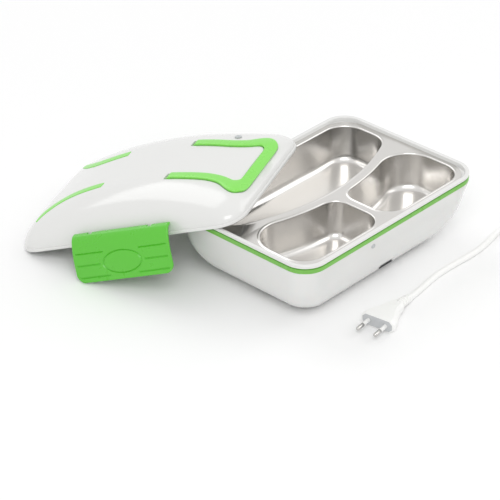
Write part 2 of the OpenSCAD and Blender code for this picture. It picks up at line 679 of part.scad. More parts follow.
// ribbon draped over the dome between pairs of plan points, from lo under its surface to
// hi over it; grow widens it on both sides
module ribbon(pairs, lo, hi, grow) {
    b = min(0.8, (hi - lo) * 0.3);
    steps = [[0, lo], [0.5, lo], [1, lo], [1, hi - b], [0.93, hi], [0.64, hi], [0.36, hi], [0.07, hi], [0, hi - b]];
    loft([for (e = pairs) let (d = unit(e[1] - e[0]), p = e[0] - grow * d, w = norm(e[1] - e[0]) + 2 * grow)
        [for (k = steps) let (q = p + d * w * k[0]) [q[0], q[1], dome_z(q[0], q[1])] + k[1] * dome_normal(q[0], q[1])]]);
}

function flipped(c) = [for (e = c) [[e[0][0], -e[0][1]], [e[1][0], -e[1][1]]]];
handle_curve = concat(flipped(half_handle), [for (i = [len(half_handle) - 2:-1:0]) half_handle[i]]);

scoop_r = 90;
scoop_depth = 1.8;
valve_x = 76;
valve_y = 50;

// turns +Z to the dome's normal at a point of it
module on_dome(x, y) {
    u = dome_normal(x, y);
    translate([x, y, dome_z(x, y)]) rotate([0, acos(u[2]), atan2(u[1], u[0])]) children();
}

module lid_shell() {
    color("#f1f1ef") lid_pose() sculpted() difference() {
        union() {
            skins(inner_skin, outer_skin);
            for (s = [-1, 1]) {
                // boss inside the dome for the hinge of each handle arm
                translate([hinge_x - 7, s * arm_y - arm_w / 2 - 4, hinge_z - 4.4])
                    cube([14, arm_w + 8, 3]);
                for (e = [-1, 1]) translate([hinge_x - 2.6, s * arm_y + e * (arm_w / 2 + 2.5) - 1.5, hinge_z - 4])
                    cube([5.2, 3, 4]);
                // lugs for the latch rods
                for (x = [-1, 1]) translate([x * lug_x - lug_l / 2, 0, 0]) {
                    translate([0, s * rod_y, rod_z]) rotate([0, 90, 0]) cylinder(d = lug_d, h = lug_l);
                    translate([0, s * (rod_y - 3) - 3, rod_z - lug_d / 2]) cube([lug_l, 6, lug_d / 2 + 0.2]);
                }
            }
        }
        ribbon(handle_curve, -groove_d, 6, 0.8);
        ribbon(half_inlay, -inlay_d, 6, 0);
        mirror([0, 1, 0]) ribbon(half_inlay, -inlay_d, 6, 0);
        for (s = [-1, 1]) {
            translate([hinge_x - 4.4, s * arm_y - arm_w / 2 - 0.8, hinge_z - knuckle_r - gap])
                cube([8.2, arm_w + 1.6, 12]);
            translate([hinge_x, s * arm_y, hinge_z]) rotate([90, 0, 0])
                cylinder(d = pin_d + fit, h = arm_w + 5, center = true);
            for (x = [-1, 1]) translate([x * lug_x, s * rod_y, rod_z]) rotate([0, 90, 0])
                cylinder(d = rod_d + fit, h = lug_l + 2, center = true);
        }
        on_dome(116.5, 5) translate([0, 0, scoop_r - scoop_depth]) sphere(r = scoop_r, $fn = 80);
        on_dome(valve_x, valve_y) translate([0, 0, -8]) cylinder(d = 4.4, h = 12);
    }
}

module lid_liner() {
    t = lid_inset + 0.8;
    color("#e6e7e4") lid_pose() sculpted() difference() {
        skins([for (s = liner_steps) dome_ring(s, t + 1.2, lid_wall + 2)],
              [for (s = liner_steps) dome_ring(s, t, lid_wall + 0.8)]);
        for (s = [-1, 1]) translate([hinge_x - 9, s * arm_y - 10, hinge_z - 8]) cube([18, 20, 20]);
        translate([valve_x, valve_y, 10]) cylinder(d = 6, h = 30);
    }
}

module lid_gasket() {
    a = lid_a - lid_rim_w - 2;
    b = lid_b - lid_rim_w - 1.6;
    r = corner_r;
    color("#c9ced0") lid_pose() translate([0, 0, lid_lip_h + 0.4]) linear_extrude(2.6) difference() {
        plate2d(a, b, r);
        plate2d(a - 2.4, b - 2.4, r - 2.4);
    }
}

module steam_valve() {
    color("#a9adb0") lid_pose() on_dome(valve_x, valve_y) {
        translate([0, 0, 0.3]) cylinder(d = 7, h = 1.1);
        translate([0, 0, -lid_wall - 1]) cylinder(d = 4, h = lid_wall + 2);
    }
}

module inlay_near() {
    color("#7fdc55") lid_pose() sculpted() mirror([0, 1, 0]) ribbon(half_inlay, 2 * fit - inlay_d, 0.5, -fit);
}

module inlay_far() {
    color("#7fdc55") lid_pose() sculpted() ribbon(half_inlay, 2 * fit - inlay_d, 0.5, -fit);
}

module carry_handle() {
    color("#84e05a") lid_pose() sculpted() difference() {
        union() {
            ribbon(handle_curve, gap - groove_d, gap - groove_d + handle_t, 0);
            for (s = [-1, 1]) translate([hinge_x, s * arm_y, hinge_z]) rotate([90, 0, 0])
                cylinder(r = knuckle_r, h = arm_w - 0.2, center = true);
        }
        for (s = [-1, 1]) translate([hinge_x, s * arm_y, hinge_z]) rotate([90, 0, 0])
            cylinder(d = pin_d + 2 * fit, h = arm_w + 2, center = true);
    }
}

module handle_pins() {
    color("silver") lid_pose() for (s = [-1, 1]) translate([hinge_x, s * arm_y, hinge_z])
        rotate([90, 0, 0]) cylinder(d = pin_d, h = arm_w + 4.6, center = true);
}

// inner face of a flap: its outer face set in by t along the line's normals
function flap_inside(t) = [for (i = [len(flap_line) - 1:-1:0])
    let (p = flap_line[max(i - 1, 0)], q = flap_line[min(i + 1, len(flap_line) - 1)], d = q - p)
    flap_line[i] + t / norm(d) * [d[1], -d[0]]];

module latch() {
    difference() {
        union() {
            translate([latch_x - latch_l / 2, rod_y, rod_z]) rotate([90, 0, 90]) linear_extrude(latch_l)
                polygon(concat(flap_line, flap_inside(latch_t)));
            translate([latch_x - latch_l / 2 + 4, rod_y, rod_z]) rotate([0, 90, 0]) cylinder(d = barrel_d, h = latch_l - 8);
            // catch bead inside the lower edge
            translate([latch_x - latch_l / 2 + 12, rod_y + 21.4 - latch_t - 0.4, flap_low + 4]) rotate([0, 90, 0])
                cylinder(r = 1.4, h = latch_l - 24);
        }
        translate([latch_x, rod_y, rod_z]) rotate([0, 90, 0]) cylinder(d = rod_d + 2 * fit, h = latch_l + 2, center = true);
        // gaps for the lugs, open on the lid's side so that they pass when the latch swings
        for (x = [-1, 1]) translate([x * lug_x - lug_l / 2 - 0.4, rod_y, rod_z]) {
            rotate([0, 90, 0]) cylinder(d = lug_d + 1, h = lug_l + 0.8);
            translate([0, -8, -lug_d / 2 - 0.5]) cube([lug_l + 0.8, 10.2, 14]);
        }
        // rounded lower corners
        for (x = [-1, 1]) translate([latch_x + x * (latch_l / 2 - 9), rod_y + 40, flap_low + 9]) rotate([90, 0, 0])
            difference() {
                translate([x * 5 - 5, -10, 0]) cube([10, 10, 60]);
                translate([0, 0, -1]) cylinder(r = 9, h = 62);
            }
    }
}

module latch_near() { color("#4cc02e") lid_pose() mirror([0, 1, 0]) latch(); }
module latch_far() { color("#4cc02e") lid_pose() latch(); }

module latch_rod(s) {
    color("silver") lid_pose() translate([0, s * rod_y, rod_z]) rotate([0, 90, 0])
        cylinder(d = rod_d, h = latch_l - 8, center = true);
}
module latch_rod_near() { latch_rod(-1); }
module latch_rod_far() { latch_rod(1); }

// ================= mains lead =================

// frame of the plug: +X from its pin face to the lead
module plug_pose() {
    translate(plug_at) rotate([0, 0, plug_turn]) children();
}

// outline across a moulded body at station x: half width w, half thickness t
function body_ring(x, w, t, r) = [for (p = rounded(w, t, r, 3)) [x, p[0], p[1]]];

module plug_body() {
    color("#f2f2f0") plug_pose() difference() {
        loft([body_ring(0, 17.2, 6.4, 5.6), body_ring(1, 17.6, 6.8, 6), body_ring(6, 17.4, 6.8, 6),
              body_ring(13, 14.6, 6.8, 6), body_ring(20, 11, 6.7, 6), body_ring(28, 8.4, 6.4, 6),
              body_ring(plug_l, 7.2, 5.9, 5.6)]);
        for (s = [-1, 1]) translate([-1, s * plug_pin_gap / 2, 0]) rotate([0, 90, 0]) cylinder(d = 4.1, h = 9);
    }
}

module plug_pins() {
    plug_pose() for (s = [-1, 1]) translate([-plug_pin_l, s * plug_pin_gap / 2, 0]) rotate([0, 90, 0]) {
        color("silver") translate([0, 0, 1]) cylinder(d = 4, h = plug_pin_l + 6);
        color("silver") cylinder(d1 = 2.6, d2 = 4, h = 1);
    }
}

// tapered, ribbed sleeve from +X = 0, that ends at the lead
module strain_sleeve(l, r0, drop) {
    n = 5;
    pitch = (l - 4) / n;
    for (i = [0:n - 1]) translate([i * pitch, 0, -drop * (i + 0.5) / (n + 0.6)]) rotate([0, 90, 0]) {
        cylinder(r = r0 - (r0 - cord_r - 0.9) * i / n, h = pitch * 0.62);
        cylinder(r = cord_r + 0.5, h = pitch + 1);
    }
    translate([n * pitch, 0, -drop]) rotate([0, 90, 0]) cylinder(r = cord_r + 0.5, h = 4);
}

module plug_sleeve() {
    color("#ededeb") plug_pose() translate([plug_l, 0, 0]) strain_sleeve(sleeve_l, 5.4, 3.4);
}

module cord_lead() { color("#f4f4f2") tube(smooth(lead_route, 2), cord_r, 10); }
module cord_tail() { color("#f4f4f2") tube(smooth(tail_route, 2), cord_r, 10); }

module cord_coil() {
    color("#f4f4f2") translate([coil_c[0], coil_c[1], 0]) rotate_extrude($fn = 64)
        translate([coil_in, 0]) square([coil_out - coil_in, coil_h]);
}

module conn_pose() {
    translate(conn_at) children();
}

module connector_sleeve() {
    color("#ededeb") conn_pose() strain_sleeve(conn_sleeve_l, 4.6, 0.2);
}

module connector_body() {
    color("#f2f2f0") conn_pose() difference() {
        loft([body_ring(-conn_l, 7.8, 3.9, 3.8), body_ring(-conn_l + 14, 8, 4.1, 4), body_ring(-conn_l + 16, 9.4, 5.4, 5),
              body_ring(-6, 9, 5.4, 5), body_ring(0, 5.6, 5, 4.6)]);
        for (s = [-1, 1]) translate([-conn_l - 1, s * inlet_pin_gap / 2, 0]) rotate([0, 90, 0])
            cylinder(d = inlet_pin_d + 0.4, h = 13);
    }
}

base_shell();
rim_ring();
trim_band();
bottom_cover();
rubber_feet();
cover_screws();
insulation_mat();
heating_plate();
plate_screws();
ptc_heater();
heater_clamp();
clamp_screws();
thermostat();
thermal_fuse();
inlet_socket();
inlet_pins();
live_wire();
neutral_wire();
fuse_wire();
status_lens();
status_board();
food_tray();
lid_shell();
lid_liner();
lid_gasket();
steam_valve();
inlay_near();
inlay_far();
carry_handle();
handle_pins();
latch_near();
latch_far();
latch_rod_near();
latch_rod_far();
plug_body();
plug_pins();
plug_sleeve();
cord_lead();
cord_coil();
cord_tail();
connector_sleeve();
connector_body();
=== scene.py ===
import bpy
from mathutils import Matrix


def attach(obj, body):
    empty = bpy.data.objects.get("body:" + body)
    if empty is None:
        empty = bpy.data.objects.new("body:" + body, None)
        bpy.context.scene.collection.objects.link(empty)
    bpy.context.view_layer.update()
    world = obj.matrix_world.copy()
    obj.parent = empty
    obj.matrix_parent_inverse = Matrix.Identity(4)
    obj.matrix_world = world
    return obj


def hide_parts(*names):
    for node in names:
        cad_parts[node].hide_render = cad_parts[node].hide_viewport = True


bl_info = {
    "name": "Electric lunch box",
    "version": (1, 0, 0),
    "blender": (4, 5, 0),
    "location": "View3D > Sidebar > Lunch box",
    "description": "Dresses an electric lunch box with smooth mouldings, a pressed tray and a mains lead",
    "category": "Object",
}

import math
from types import SimpleNamespace

import bpy
import numpy as np
from mathutils import Matrix, Vector
from mathutils.geometry import tessellate_polygon

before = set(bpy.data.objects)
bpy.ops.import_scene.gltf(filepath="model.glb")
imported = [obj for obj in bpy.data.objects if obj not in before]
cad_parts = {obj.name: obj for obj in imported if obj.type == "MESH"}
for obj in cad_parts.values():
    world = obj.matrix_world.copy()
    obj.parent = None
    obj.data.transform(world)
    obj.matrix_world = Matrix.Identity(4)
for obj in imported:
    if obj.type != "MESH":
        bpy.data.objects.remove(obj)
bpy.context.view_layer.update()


# ---------------------------------------------------------------- sizes and colours

def length(name, what, mm):
    """A length in the sidebar, given here in millimetres and kept in metres."""
    return bpy.props.FloatProperty(name=name, description=what, default=mm / 1000, min=0.0, precision=4,
                                   subtype="DISTANCE", unit="LENGTH")


def angle(name, what, degrees):
    """An angle in the sidebar, given here in degrees and kept in radians."""
    return bpy.props.FloatProperty(name=name, description=what, default=math.radians(degrees),
                                   subtype="ANGLE", unit="ROTATION")


def linear(hex_code):
    """Scene-linear red, green and blue of a screen colour: the inverse of the screen's transfer curve."""
    parts = [int(hex_code[i:i + 2], 16) / 255 for i in (0, 2, 4)]
    return tuple(p / 12.92 if p <= 0.04045 else ((p + 0.055) / 1.055) ** 2.4 for p in parts)


def colour(name, what, hex_code):
    """A colour picker whose default is a screen colour, written as six hex digits."""
    return bpy.props.FloatVectorProperty(name=name, description=what, default=linear(hex_code), size=3,
                                         min=0.0, max=1.0, subtype="COLOR")


class LunchBoxSizes(bpy.types.PropertyGroup):
    base_length: length("Base length", "Length of the base over its rim", 250.0)
    base_width: length("Base width", "Width of the base over its rim", 175.0)
    base_height: length("Base height", "Floor to the top of the rim", 74.0)
    corner_radius: length("Corner radius", "Corner radius of rim and lid in plan", 24.0)
    lid_length: length("Lid length", "Length of the lid over its rim", 247.0)
    lid_width: length("Lid width", "Width of the lid over its rim", 172.0)
    dome_height: length("Dome height", "Crown of the lid above its rim plane", 38.5)
    lid_turn: angle("Lid turn", "Turn of the leaning lid about the vertical", -68.3)
    lid_slope: angle("Lid slope", "Slope of the leaning lid", 19.8)
    pan_depth: length("Compartment depth", "Depth of the tray's compartments", 38.0)
    cord_diameter: length("Lead diameter", "Diameter of the mains lead", 6.0)


class LunchBoxColours(bpy.types.PropertyGroup):
    shell: colour("Shell white", "Glossy moulding of base and lid", "e4e4e2")
    band: colour("Rim band", "Band under the white rim", "74b84c")
    latch: colour("Latch green", "Side latches", "5cc234")
    handle: colour("Handle green", "Handle and inlay strips", "86e05a")
    steel: colour("Tray steel", "Satin stainless sheet", "d6d4d1")
    lead: colour("Lead white", "Mains lead and its mouldings", "f7f7f5")


ANGLES = ("lid_turn", "lid_slope")


def sizes():
    """The sidebar's sizes: lengths in millimetres, to the nearest thousandth, and angles in radians."""
    group = bpy.context.scene.lunch_box_sizes
    values = {name: getattr(group, name) for name in group.__annotations__}
    return SimpleNamespace(**{name: value if name in ANGLES else round(value * 1000, 3)
                              for name, value in values.items()})


def colours():
    """The sidebar's colours, scene-linear."""
    return bpy.context.scene.lunch_box_colours


# ---------------------------------------------------------------- fixed distances, mm
# The base stands on the floor with +X to its mains inlet and -Y to the viewer. The lid has a frame of its own:
# its origin is the middle of the rim plane, +X runs to the handle's end and +Z to the crown.

X, Y = (1, 0, 0), (0, 1, 0)

# base
LIP_FACE = 3.0                          # white lip over the coloured band
BAND = 5.7                              # coloured band
DRAFT = 14.5                            # lean of the tub's wall from rim to floor
BILGE_W, BILGE_H = 30.0, 40.0           # rounded bilge between wall and underside
LONG_BILGE = 0.75                       # share of the bilge's width under the long walls
CORNER_PULL = 0.08                      # loss of corner radius for each mm of inset
FOOT = 1.5                              # height of the rubber feet
WALL = 2.6
WALL_DROP = 0.8                         # the inner skin repeats the outer one this much higher
LEDGE = 6.5                             # floor of the tub, round the bottom cover
COVER_IN, COVER_SEAT = 8.5, 2.7         # bottom cover: distance from the hull, depth of its seat
LEDGE_IN = 9.0                          # width of the ledge that the cover is screwed to
VENT_X, VENT_Z = 6.5, 14.8              # slot low in the near long wall
VENT_L, VENT_H, VENT_SLANT = 18.2, 2.5, -34.0
LAMP_X, LAMP_DROP = -30.5, 15.8         # status lamp, and its drop from the top of the rim
LAMP_SLANT = -11.0                      # it follows the wall's lean
NOTCH_Y, NOTCH_H = (-12.5, 7.5), 3.6    # finger notch under the short wall
INLET_X, INLET_Y, INLET_Z = (95.9, 130.0), (-11.8, 11.8), (17.2, 32.8)

# tray
FLANGE_DROP = 3.5                       # top of the tray's flange under the top of the rim
FLANGE_IN = 4.3
STEEL_T = 0.8
SEAT_GAP = 0.3
PAN_IN = (10.5, 11.0)                   # compartments, in from the rim
WAVE_R, WAVE_Y, BRIDGE = 240.0, -5.5, 11.0   # curved bridge between the large and the small compartments
PAN_DRAFT, PAN_FILLET, MOUTH = 2.5, 8.0, 1.6

# lid
LID_RIM, LID_LIP, LID_WALL = 4.0, 3.0, 2.8
ARCH = 340.0                            # radius of the dome's long arch
PANEL_X, PANEL_Y = 104.0, 34.0          # half sizes of the crown panel
DOME_P = 2.1                            # power of the superellipse from crown to foot
CHANNEL = 1.0                           # depth of the grooves for handle and inlays
HINGE_X, ARM_Y, HINGE_SINK = 39.0, 34.0, 1.4
ARM_W, KNUCKLE_R = 9.5, 2.4
SCOOP_AT, SCOOP_R, SCOOP_DEPTH, SCOOP_OUT = (116.5, 5.0), 90.0, 1.8, 34.0
VALVE_AT = (76.0, 50.0)

# latches
BARREL_Y, BARREL_Z, BARREL_R = 88.5, 10.5, 2.6
LUG_X, LUG_L, LUG_R = 33.0, 4.6, 2.2
LUG_PLAY, LUG_ROOM = 0.4, 0.5           # room beside and round a lug
LATCH_L, LATCH_X, LATCH_T, CORNER = 106.0, 1.5, 2.4, 9.0
EDGE_R = 0.9                            # rounding of a latch's outer edges
GROOVE_W, GROOVE_D = 2.0, 1.1
RING_S, RING_X, RING_H, RING_MEAN = 34.9, 20.9, 10.9, 14.0   # oval ring: place down the face, half axes, mean radius
LINES = ((23.6, 18.6, 51), (35.3, 23.5, 51), (47.2, 15, 50))   # place down the face, and reach to each side
# outer face of a latch from its upper to its lower edge, outwards and up from the rod
FLAP_LINE = [(-1.8, 3.6), (-0.4, 4.02), (1.1, 4.04), (3.1, 3.8), (5.2, 2.7), (7.2, 1), (9, -1.3), (11, -4.4),
             (13, -8), (15.1, -12.8), (17, -17.8), (18.6, -23), (20, -28.2), (21.2, -33), (22.4, -37.8)]

# halves of the handle and of the inlays in plan, as pairs of an outer and an inner edge point
HALF_HANDLE = [((39.6, 38.4), (39.6, 29.2)), ((56, 38.6), (56, 28.8)), ((70, 38.6), (70, 28.4)),
               ((78, 39), (78, 28.6)), ((86, 40.6), (86, 29.6)), ((92, 43), (92, 31)),
               ((97, 46.6), (96.8, 32.6)), ((102, 50.4), (101, 34.6)),
               ((106.8, 52.6), (104.2, 35.6)), ((111, 52), (106.4, 35)), ((114.6, 48.6), (108.2, 33.2)),
               ((116.6, 44), (109.2, 30.6)), ((117.4, 38), (109.5, 27)), ((117.6, 28), (109.6, 22)),
               ((117.6, 14), (109.6, 11)), ((117.6, 0), (109.6, 0))]
HALF_INLAY = [((-37, 36.8), (-37, 28)), ((-50, 36.9), (-50, 27.6)), ((-64, 37.5), (-64, 27.9)),
              ((-76, 39.2), (-77.5, 29.6)), ((-87, 43), (-90, 34.2)), ((-96, 48.6), (-100, 41.6)),
              ((-102.6, 54), (-106, 49)), ((-107, 59), (-108.8, 57))]

# mains lead: the plug's frame has +X from its pin face to the lead
PLUG_AT, PLUG_TURN, PLUG_L = (-67.5, -123.5, 6.9), math.radians(8), 36.0
PIN_L, PIN_GAP = 19.0, 18.6
CONNECTOR_AT, CONNECTOR_L, CONNECTOR_GAP = (134, -173, 6.2), 26.0, 8.6
CORD_R = 3.0                            # radius that the reliefs grip
COIL_AT, COIL_R, COIL_TURNS = (187.0, -137.0), 33.0, 3.5
COIL_ENTRY = (181.5, -101, 3)
LEAD_ROUTE = [(-6.5, -115, 3.4), (0, -114, 3.1), (8, -113, 3), (20, -111, 3), (34, -109, 3), (50, -108.4, 3),
              (66, -108.8, 3), (82, -109.6, 3), (96, -109.8, 3), (110, -108.6, 3), (124, -106, 3),
              (138, -103.2, 3), (152, -101.8, 3),
              (164, -101.2, 3), (176, -101, 3)]
TAIL_ROUTE = [(178, -173, 9), (172, -173, 8.6), (166, -173, 7.8), (160, -173, 6.8), (154, -173, 6)]

# stage, in m. The camera's turn is in degrees: round the vertical, above the floor, and about its own line of sight
CAMERA_TURN, CAMERA_AIM, CAMERA_FAR = (-46.85, 32.13, -0.34), (-0.04594, 0.05681, 0.0), 2.3367
CAMERA_LENS = 172.775                   # focal length in mm
# three square lamps: name, place, side, and power in W
LAMPS = (("key", (-1.5, -1.4, 2.3), 1.5, 28.0),
         ("fill", (2.0, -1.0, 1.7), 2.0, 13.0),
         ("back", (0.3, 2.2, 2.2), 1.8, 15.5))
LAMP_AIM = (0, 0.05, 0.03)
AMBIENT = 0.66


# ---------------------------------------------------------------- curves and meshes

def arc(cx, cy, r, a0, a1, n):
    """Circle's arc round (cx, cy): r times cosine and sine of n + 1 even angles from a0 to a1 degrees."""
    t = np.radians(np.linspace(a0, a1, n + 1))
    return np.stack([cx + r * np.cos(t), cy + r * np.sin(t)], 1)


def rounded(a, b, r, n=14, m=24, k=16):
    """Anticlockwise rounded rectangle of half sizes a and b: four quarter circles of radius r in n parts each,
    joined by straight lines in m and k parts."""
    def side(p, q, parts):
        """Even points between p and q."""
        return p + (q - p) * (np.arange(1, parts) / parts)[:, None]
    corners = [arc(a - r, b - r, r, 0, 90, n), arc(r - a, b - r, r, 90, 180, n),
               arc(r - a, r - b, r, 180, 270, n), arc(a - r, r - b, r, 270, 360, n)]
    out = []
    for i, c in enumerate(corners):
        out += [c, side(c[-1], corners[(i + 1) % 4][0], m if i % 2 == 0 else k)]
    return np.concatenate(out)


def eight_sided(a, b, cut, r):
    """Rectangle of half sizes a and b with its corners cut off straight by cut, and its eight edges on a radius
    of r. Each edge is an eighth of a circle, whose centre lies r in from both of its sides."""
    far = cut + r * (math.sqrt(2) - 1)
    centres = [(a - r, b - far), (a - far, b - r), (far - a, b - r), (r - a, b - far),
               (r - a, far - b), (far - a, r - b), (a - far, r - b), (a - r, far - b)]
    return np.concatenate([arc(x, y, r, 45 * i, 45 * i + 45, 4) for i, (x, y) in enumerate(centres)])


def at_height(ring, z):
    """Plan points with one height, or with a height each."""
    return np.column_stack([ring, np.full(len(ring), float(z)) if np.isscalar(z) else z])


def spline(points, steps):
    """Smooth curve through the points, with steps parts to each span: a cubic whose slope at each point is half
    of the way between the point's neighbours."""
    p = np.asarray(points, float)
    q = np.concatenate([[2 * p[0] - p[1]], p, [2 * p[-1] - p[-2]]])
    a, b, c, d = (q[i:len(q) - 3 + i, None] for i in range(4))
    t = (np.arange(steps) / steps)[None, :, None]
    curve = 0.5 * (2 * b + (c - a) * t + (2 * a - 5 * b + 4 * c - d) * t * t + (3 * b - a - 3 * c + d) * t ** 3)
    return np.concatenate([curve.reshape(-1, p.shape[1]), p[-1:]])


def evenly(points, step):
    """The same line with points about step apart, by interpolating each coordinate over the way along it."""
    p = np.asarray(points, float)
    d = np.concatenate([[0], np.cumsum(np.linalg.norm(np.diff(p, axis=0), axis=1))])
    t = np.linspace(0, d[-1], max(2, int(round(d[-1] / step)) + 1))
    return np.stack([np.interp(t, d, p[:, i]) for i in range(p.shape[1])], 1)


def grid_quads(rows, n, closed=False, first=0):
    """Quads between neighbouring rings of n points: point i of ring k is first + k * n + i."""
    k = np.arange(rows if closed else rows - 1)[:, None]
    i = np.arange(n)[None, :]
    j, up = (i + 1) % n, (k + 1) % rows
    return first + np.stack([k * n + i, k * n + j, up * n + j, up * n + i], -1).reshape(-1, 4)


def loft(rings, caps=True, closed=False):
    """Skin through equal rings, each anticlockwise seen from the last one: a quad between every two
    neighbours, and a flat face at each end or, if closed, quads from the last ring to the first."""
    n, m = len(rings[0]), len(rings)
    faces = [grid_quads(m, n, closed=closed)]
    if caps and not closed:
        faces += [np.arange(n)[None, ::-1], (m - 1) * n + np.arange(n)[None, :]]
    return np.concatenate(rings), faces


def joined(*shapes):
    """Several shapes as one: the points of each follow those of the last."""
    starts = np.cumsum([0] + [len(points) for points, _ in shapes])
    return (np.concatenate([points for points, _ in shapes]),
            [f + start for (_, faces), start in zip(shapes, starts) for f in faces])


def turned(profile, at=(0, 0, 0), axis=(0, 0, 1), n=40):
    """Solid of revolution: profile is (radius, distance along axis) pairs, both ends on the axis. A ring is its
    radius times the cosine and sine of n even angles, with its distance as the third coordinate."""
    turn = np.array(Vector(axis).normalized().to_track_quat("Z", "Y").to_matrix())
    t = np.arange(n) * 2 * math.pi / n
    r, h = np.array(profile, float).T[:, :, None]
    r = np.maximum(r, 0.001)
    return loft(np.stack([r * np.cos(t), r * np.sin(t), h + 0 * t], -1) @ turn.T + np.array(at))


def rod(r, low, high, at, axis, n, ease=0.0):
    """Round bar between two distances along an axis through at, with its two ends eased by a chamfer."""
    flank = [(r - ease, low), (r, low + ease), (r, high - ease), (r - ease, high)] if ease else [(r, low), (r, high)]
    return turned([(0, low), *flank, (0, high)], at, axis, n)


def box_of(lo, hi):
    """Box between two opposite corners."""
    x, y, z = zip(lo, hi)
    ring = [(x[0], y[0]), (x[1], y[0]), (x[1], y[1]), (x[0], y[1])]
    return loft([np.array([(*p, z[0]) for p in ring]), np.array([(*p, z[1]) for p in ring])])


def slanted(shape, at, degrees):
    """A shape turned about its x axis and moved."""
    points, faces = shape
    c, s = math.cos(math.radians(degrees)), math.sin(math.radians(degrees))
    return points @ np.array([(1, 0, 0), (0, c, s), (0, -s, c)]) + at, faces


def moved(shape, by):
    """The same shape by so much further along x, y and z."""
    return shape[0] + by, shape[1]


def outwards(shape):
    """The same closed skin with its faces turned outwards: its volume, summed over cones from the
    origin to each face, is made positive."""
    points, faces = shape
    volume = sum(np.einsum("ij,ij->", points[f[:, 0]], np.cross(points[f[:, i]], points[f[:, i + 1]]))
                 for f in faces for i in range(1, f.shape[1] - 1))
    return (points, faces) if volume > 0 else (points, [f[:, ::-1] for f in faces])


def solid(name, shape, sharp=40, closed=True):
    """Mesh object, in metres, from a shape in millimetres: points, and faces as arrays of corner numbers."""
    points, faces = outwards(shape) if closed else shape
    mesh = bpy.data.meshes.new(name)
    mesh.from_pydata((points * 0.001).tolist(), [], [row for f in faces for row in f.tolist()])
    mesh.validate()
    mesh.shade_smooth()
    mesh.set_sharp_from_angle(angle=math.radians(sharp))
    obj = bpy.data.objects.new(name, mesh)
    bpy.context.scene.collection.objects.link(obj)
    return obj


def settle(obj, sharp=40):
    """Makes a piece's modifiers part of its mesh."""
    bpy.context.view_layer.update()
    mesh = bpy.data.meshes.new_from_object(obj.evaluated_get(bpy.context.evaluated_depsgraph_get()))
    old, obj.data = obj.data, mesh
    mesh.name = obj.name
    obj.modifiers.clear()
    bpy.data.meshes.remove(old)
    mesh.shade_smooth()
    mesh.set_sharp_from_angle(angle=math.radians(sharp))


def shaped(obj, add=(), cut=(), sharp=40):
    """Joins closed shapes to a piece, then cuts others out of it."""
    tools = []
    for operation, shapes in (("UNION", add), ("DIFFERENCE", cut)):
        for shape in shapes:
            tool = solid("tool", shape)
            tools.append(tool)
            step = obj.modifiers.new(operation, "BOOLEAN")
            step.object, step.operation, step.solver = tool, operation, "MANIFOLD"
    settle(obj, sharp)
    for tool in tools:
        data = tool.data
        bpy.data.objects.remove(tool)
        bpy.data.meshes.remove(data)
    return obj


def dress(obj, finish_name, body, slot, *nodes):
    """Gives a piece its finish and its body, and hides the solids that it stands for. slot is not used."""
    obj.data.materials.clear()
    obj.data.materials.append(made(finish_name))
    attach(obj, body)
    if nodes:
        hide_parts(*nodes)
    return obj


# ---------------------------------------------------------------- finishes
# Patterns are noise: a grain is its number of cells per mm, and a stretch the number of cells per m along each axis.
# Orange peel, moulded grain and felt have their real sizes. What is too fine to show on a whole box, such as the
# lines of a rolled sheet, is drawn coarser, and says so.

EVEN = (1000, 1000, 1000)               # one noise cell per mm


def finish(name):
    """A new material and its main shader."""
    mat = bpy.data.materials.new(name)
    mat.use_nodes = True
    return mat, mat.node_tree.nodes["Principled BSDF"]


def node(owner, kind, settings=(), **links):
    """Adds one shader node. settings are (socket or property, value) pairs, links are socket=output."""
    added = owner.node_tree.nodes.new(kind)
    for key, value in dict(settings).items():
        if key in added.inputs:
            added.inputs[key].default_value = value
        else:
            setattr(added, key, value)
    for key, output in links.items():
        owner.node_tree.links.new(output, added.inputs[key.replace("_", " ")])
    return added


def place(mat, stretch=EVEN):
    """Position on the piece, stretched per axis."""
    where = node(mat, "ShaderNodeTexCoord")
    return node(mat, "ShaderNodeMapping", {"Scale": stretch}, Vector=where.outputs["Object"]).outputs["Vector"]


def mottled(mat, socket, low, high, grain, stretch=EVEN):
    """Noise between two values: its middle third, where nearly all of it lies, is spread over them."""
    noise = node(mat, "ShaderNodeTexNoise", {"Scale": grain, "Detail": 3.0, "Roughness": 0.55},
                 Vector=place(mat, stretch))
    ramp = node(mat, "ShaderNodeMapRange", {"From Min": 0.35, "From Max": 0.65, "To Min": low, "To Max": high},
                Value=noise.outputs["Fac"])
    mat.node_tree.links.new(ramp.outputs["Result"], socket)


def between(mat, shader, rgb, low, high, pattern):
    """Base colour that a pattern moves between two shares of a colour."""
    mix = node(mat, "ShaderNodeMix", {"data_type": "RGBA"}, Factor=pattern)
    mix.inputs[6].default_value = (*[c * low for c in rgb], 1)
    mix.inputs[7].default_value = (*[min(1.0, c * high) for c in rgb], 1)
    mat.node_tree.links.new(mix.outputs[2], shader.inputs["Base Color"])


def tinted(mat, shader, rgb, change, grain):
    """Colour that drifts a little over the piece."""
    noise = node(mat, "ShaderNodeTexNoise", {"Scale": grain, "Detail": 2.0}, Vector=place(mat))
    between(mat, shader, rgb, 1 - change, 1 + change, noise.outputs["Fac"])


def bumped(mat, shader, grain, height, stretch=EVEN, detail=4.0):
    """Fine surface texture of a height in mm."""
    noise = node(mat, "ShaderNodeTexNoise", {"Scale": grain, "Detail": detail, "Roughness": 0.6},
                 Vector=place(mat, stretch))
    bump = node(mat, "ShaderNodeBump", {"Strength": 1.0, "Distance": height * 0.001}, Height=noise.outputs["Fac"])
    mat.node_tree.links.new(bump.outputs["Normal"], shader.inputs["Normal"])


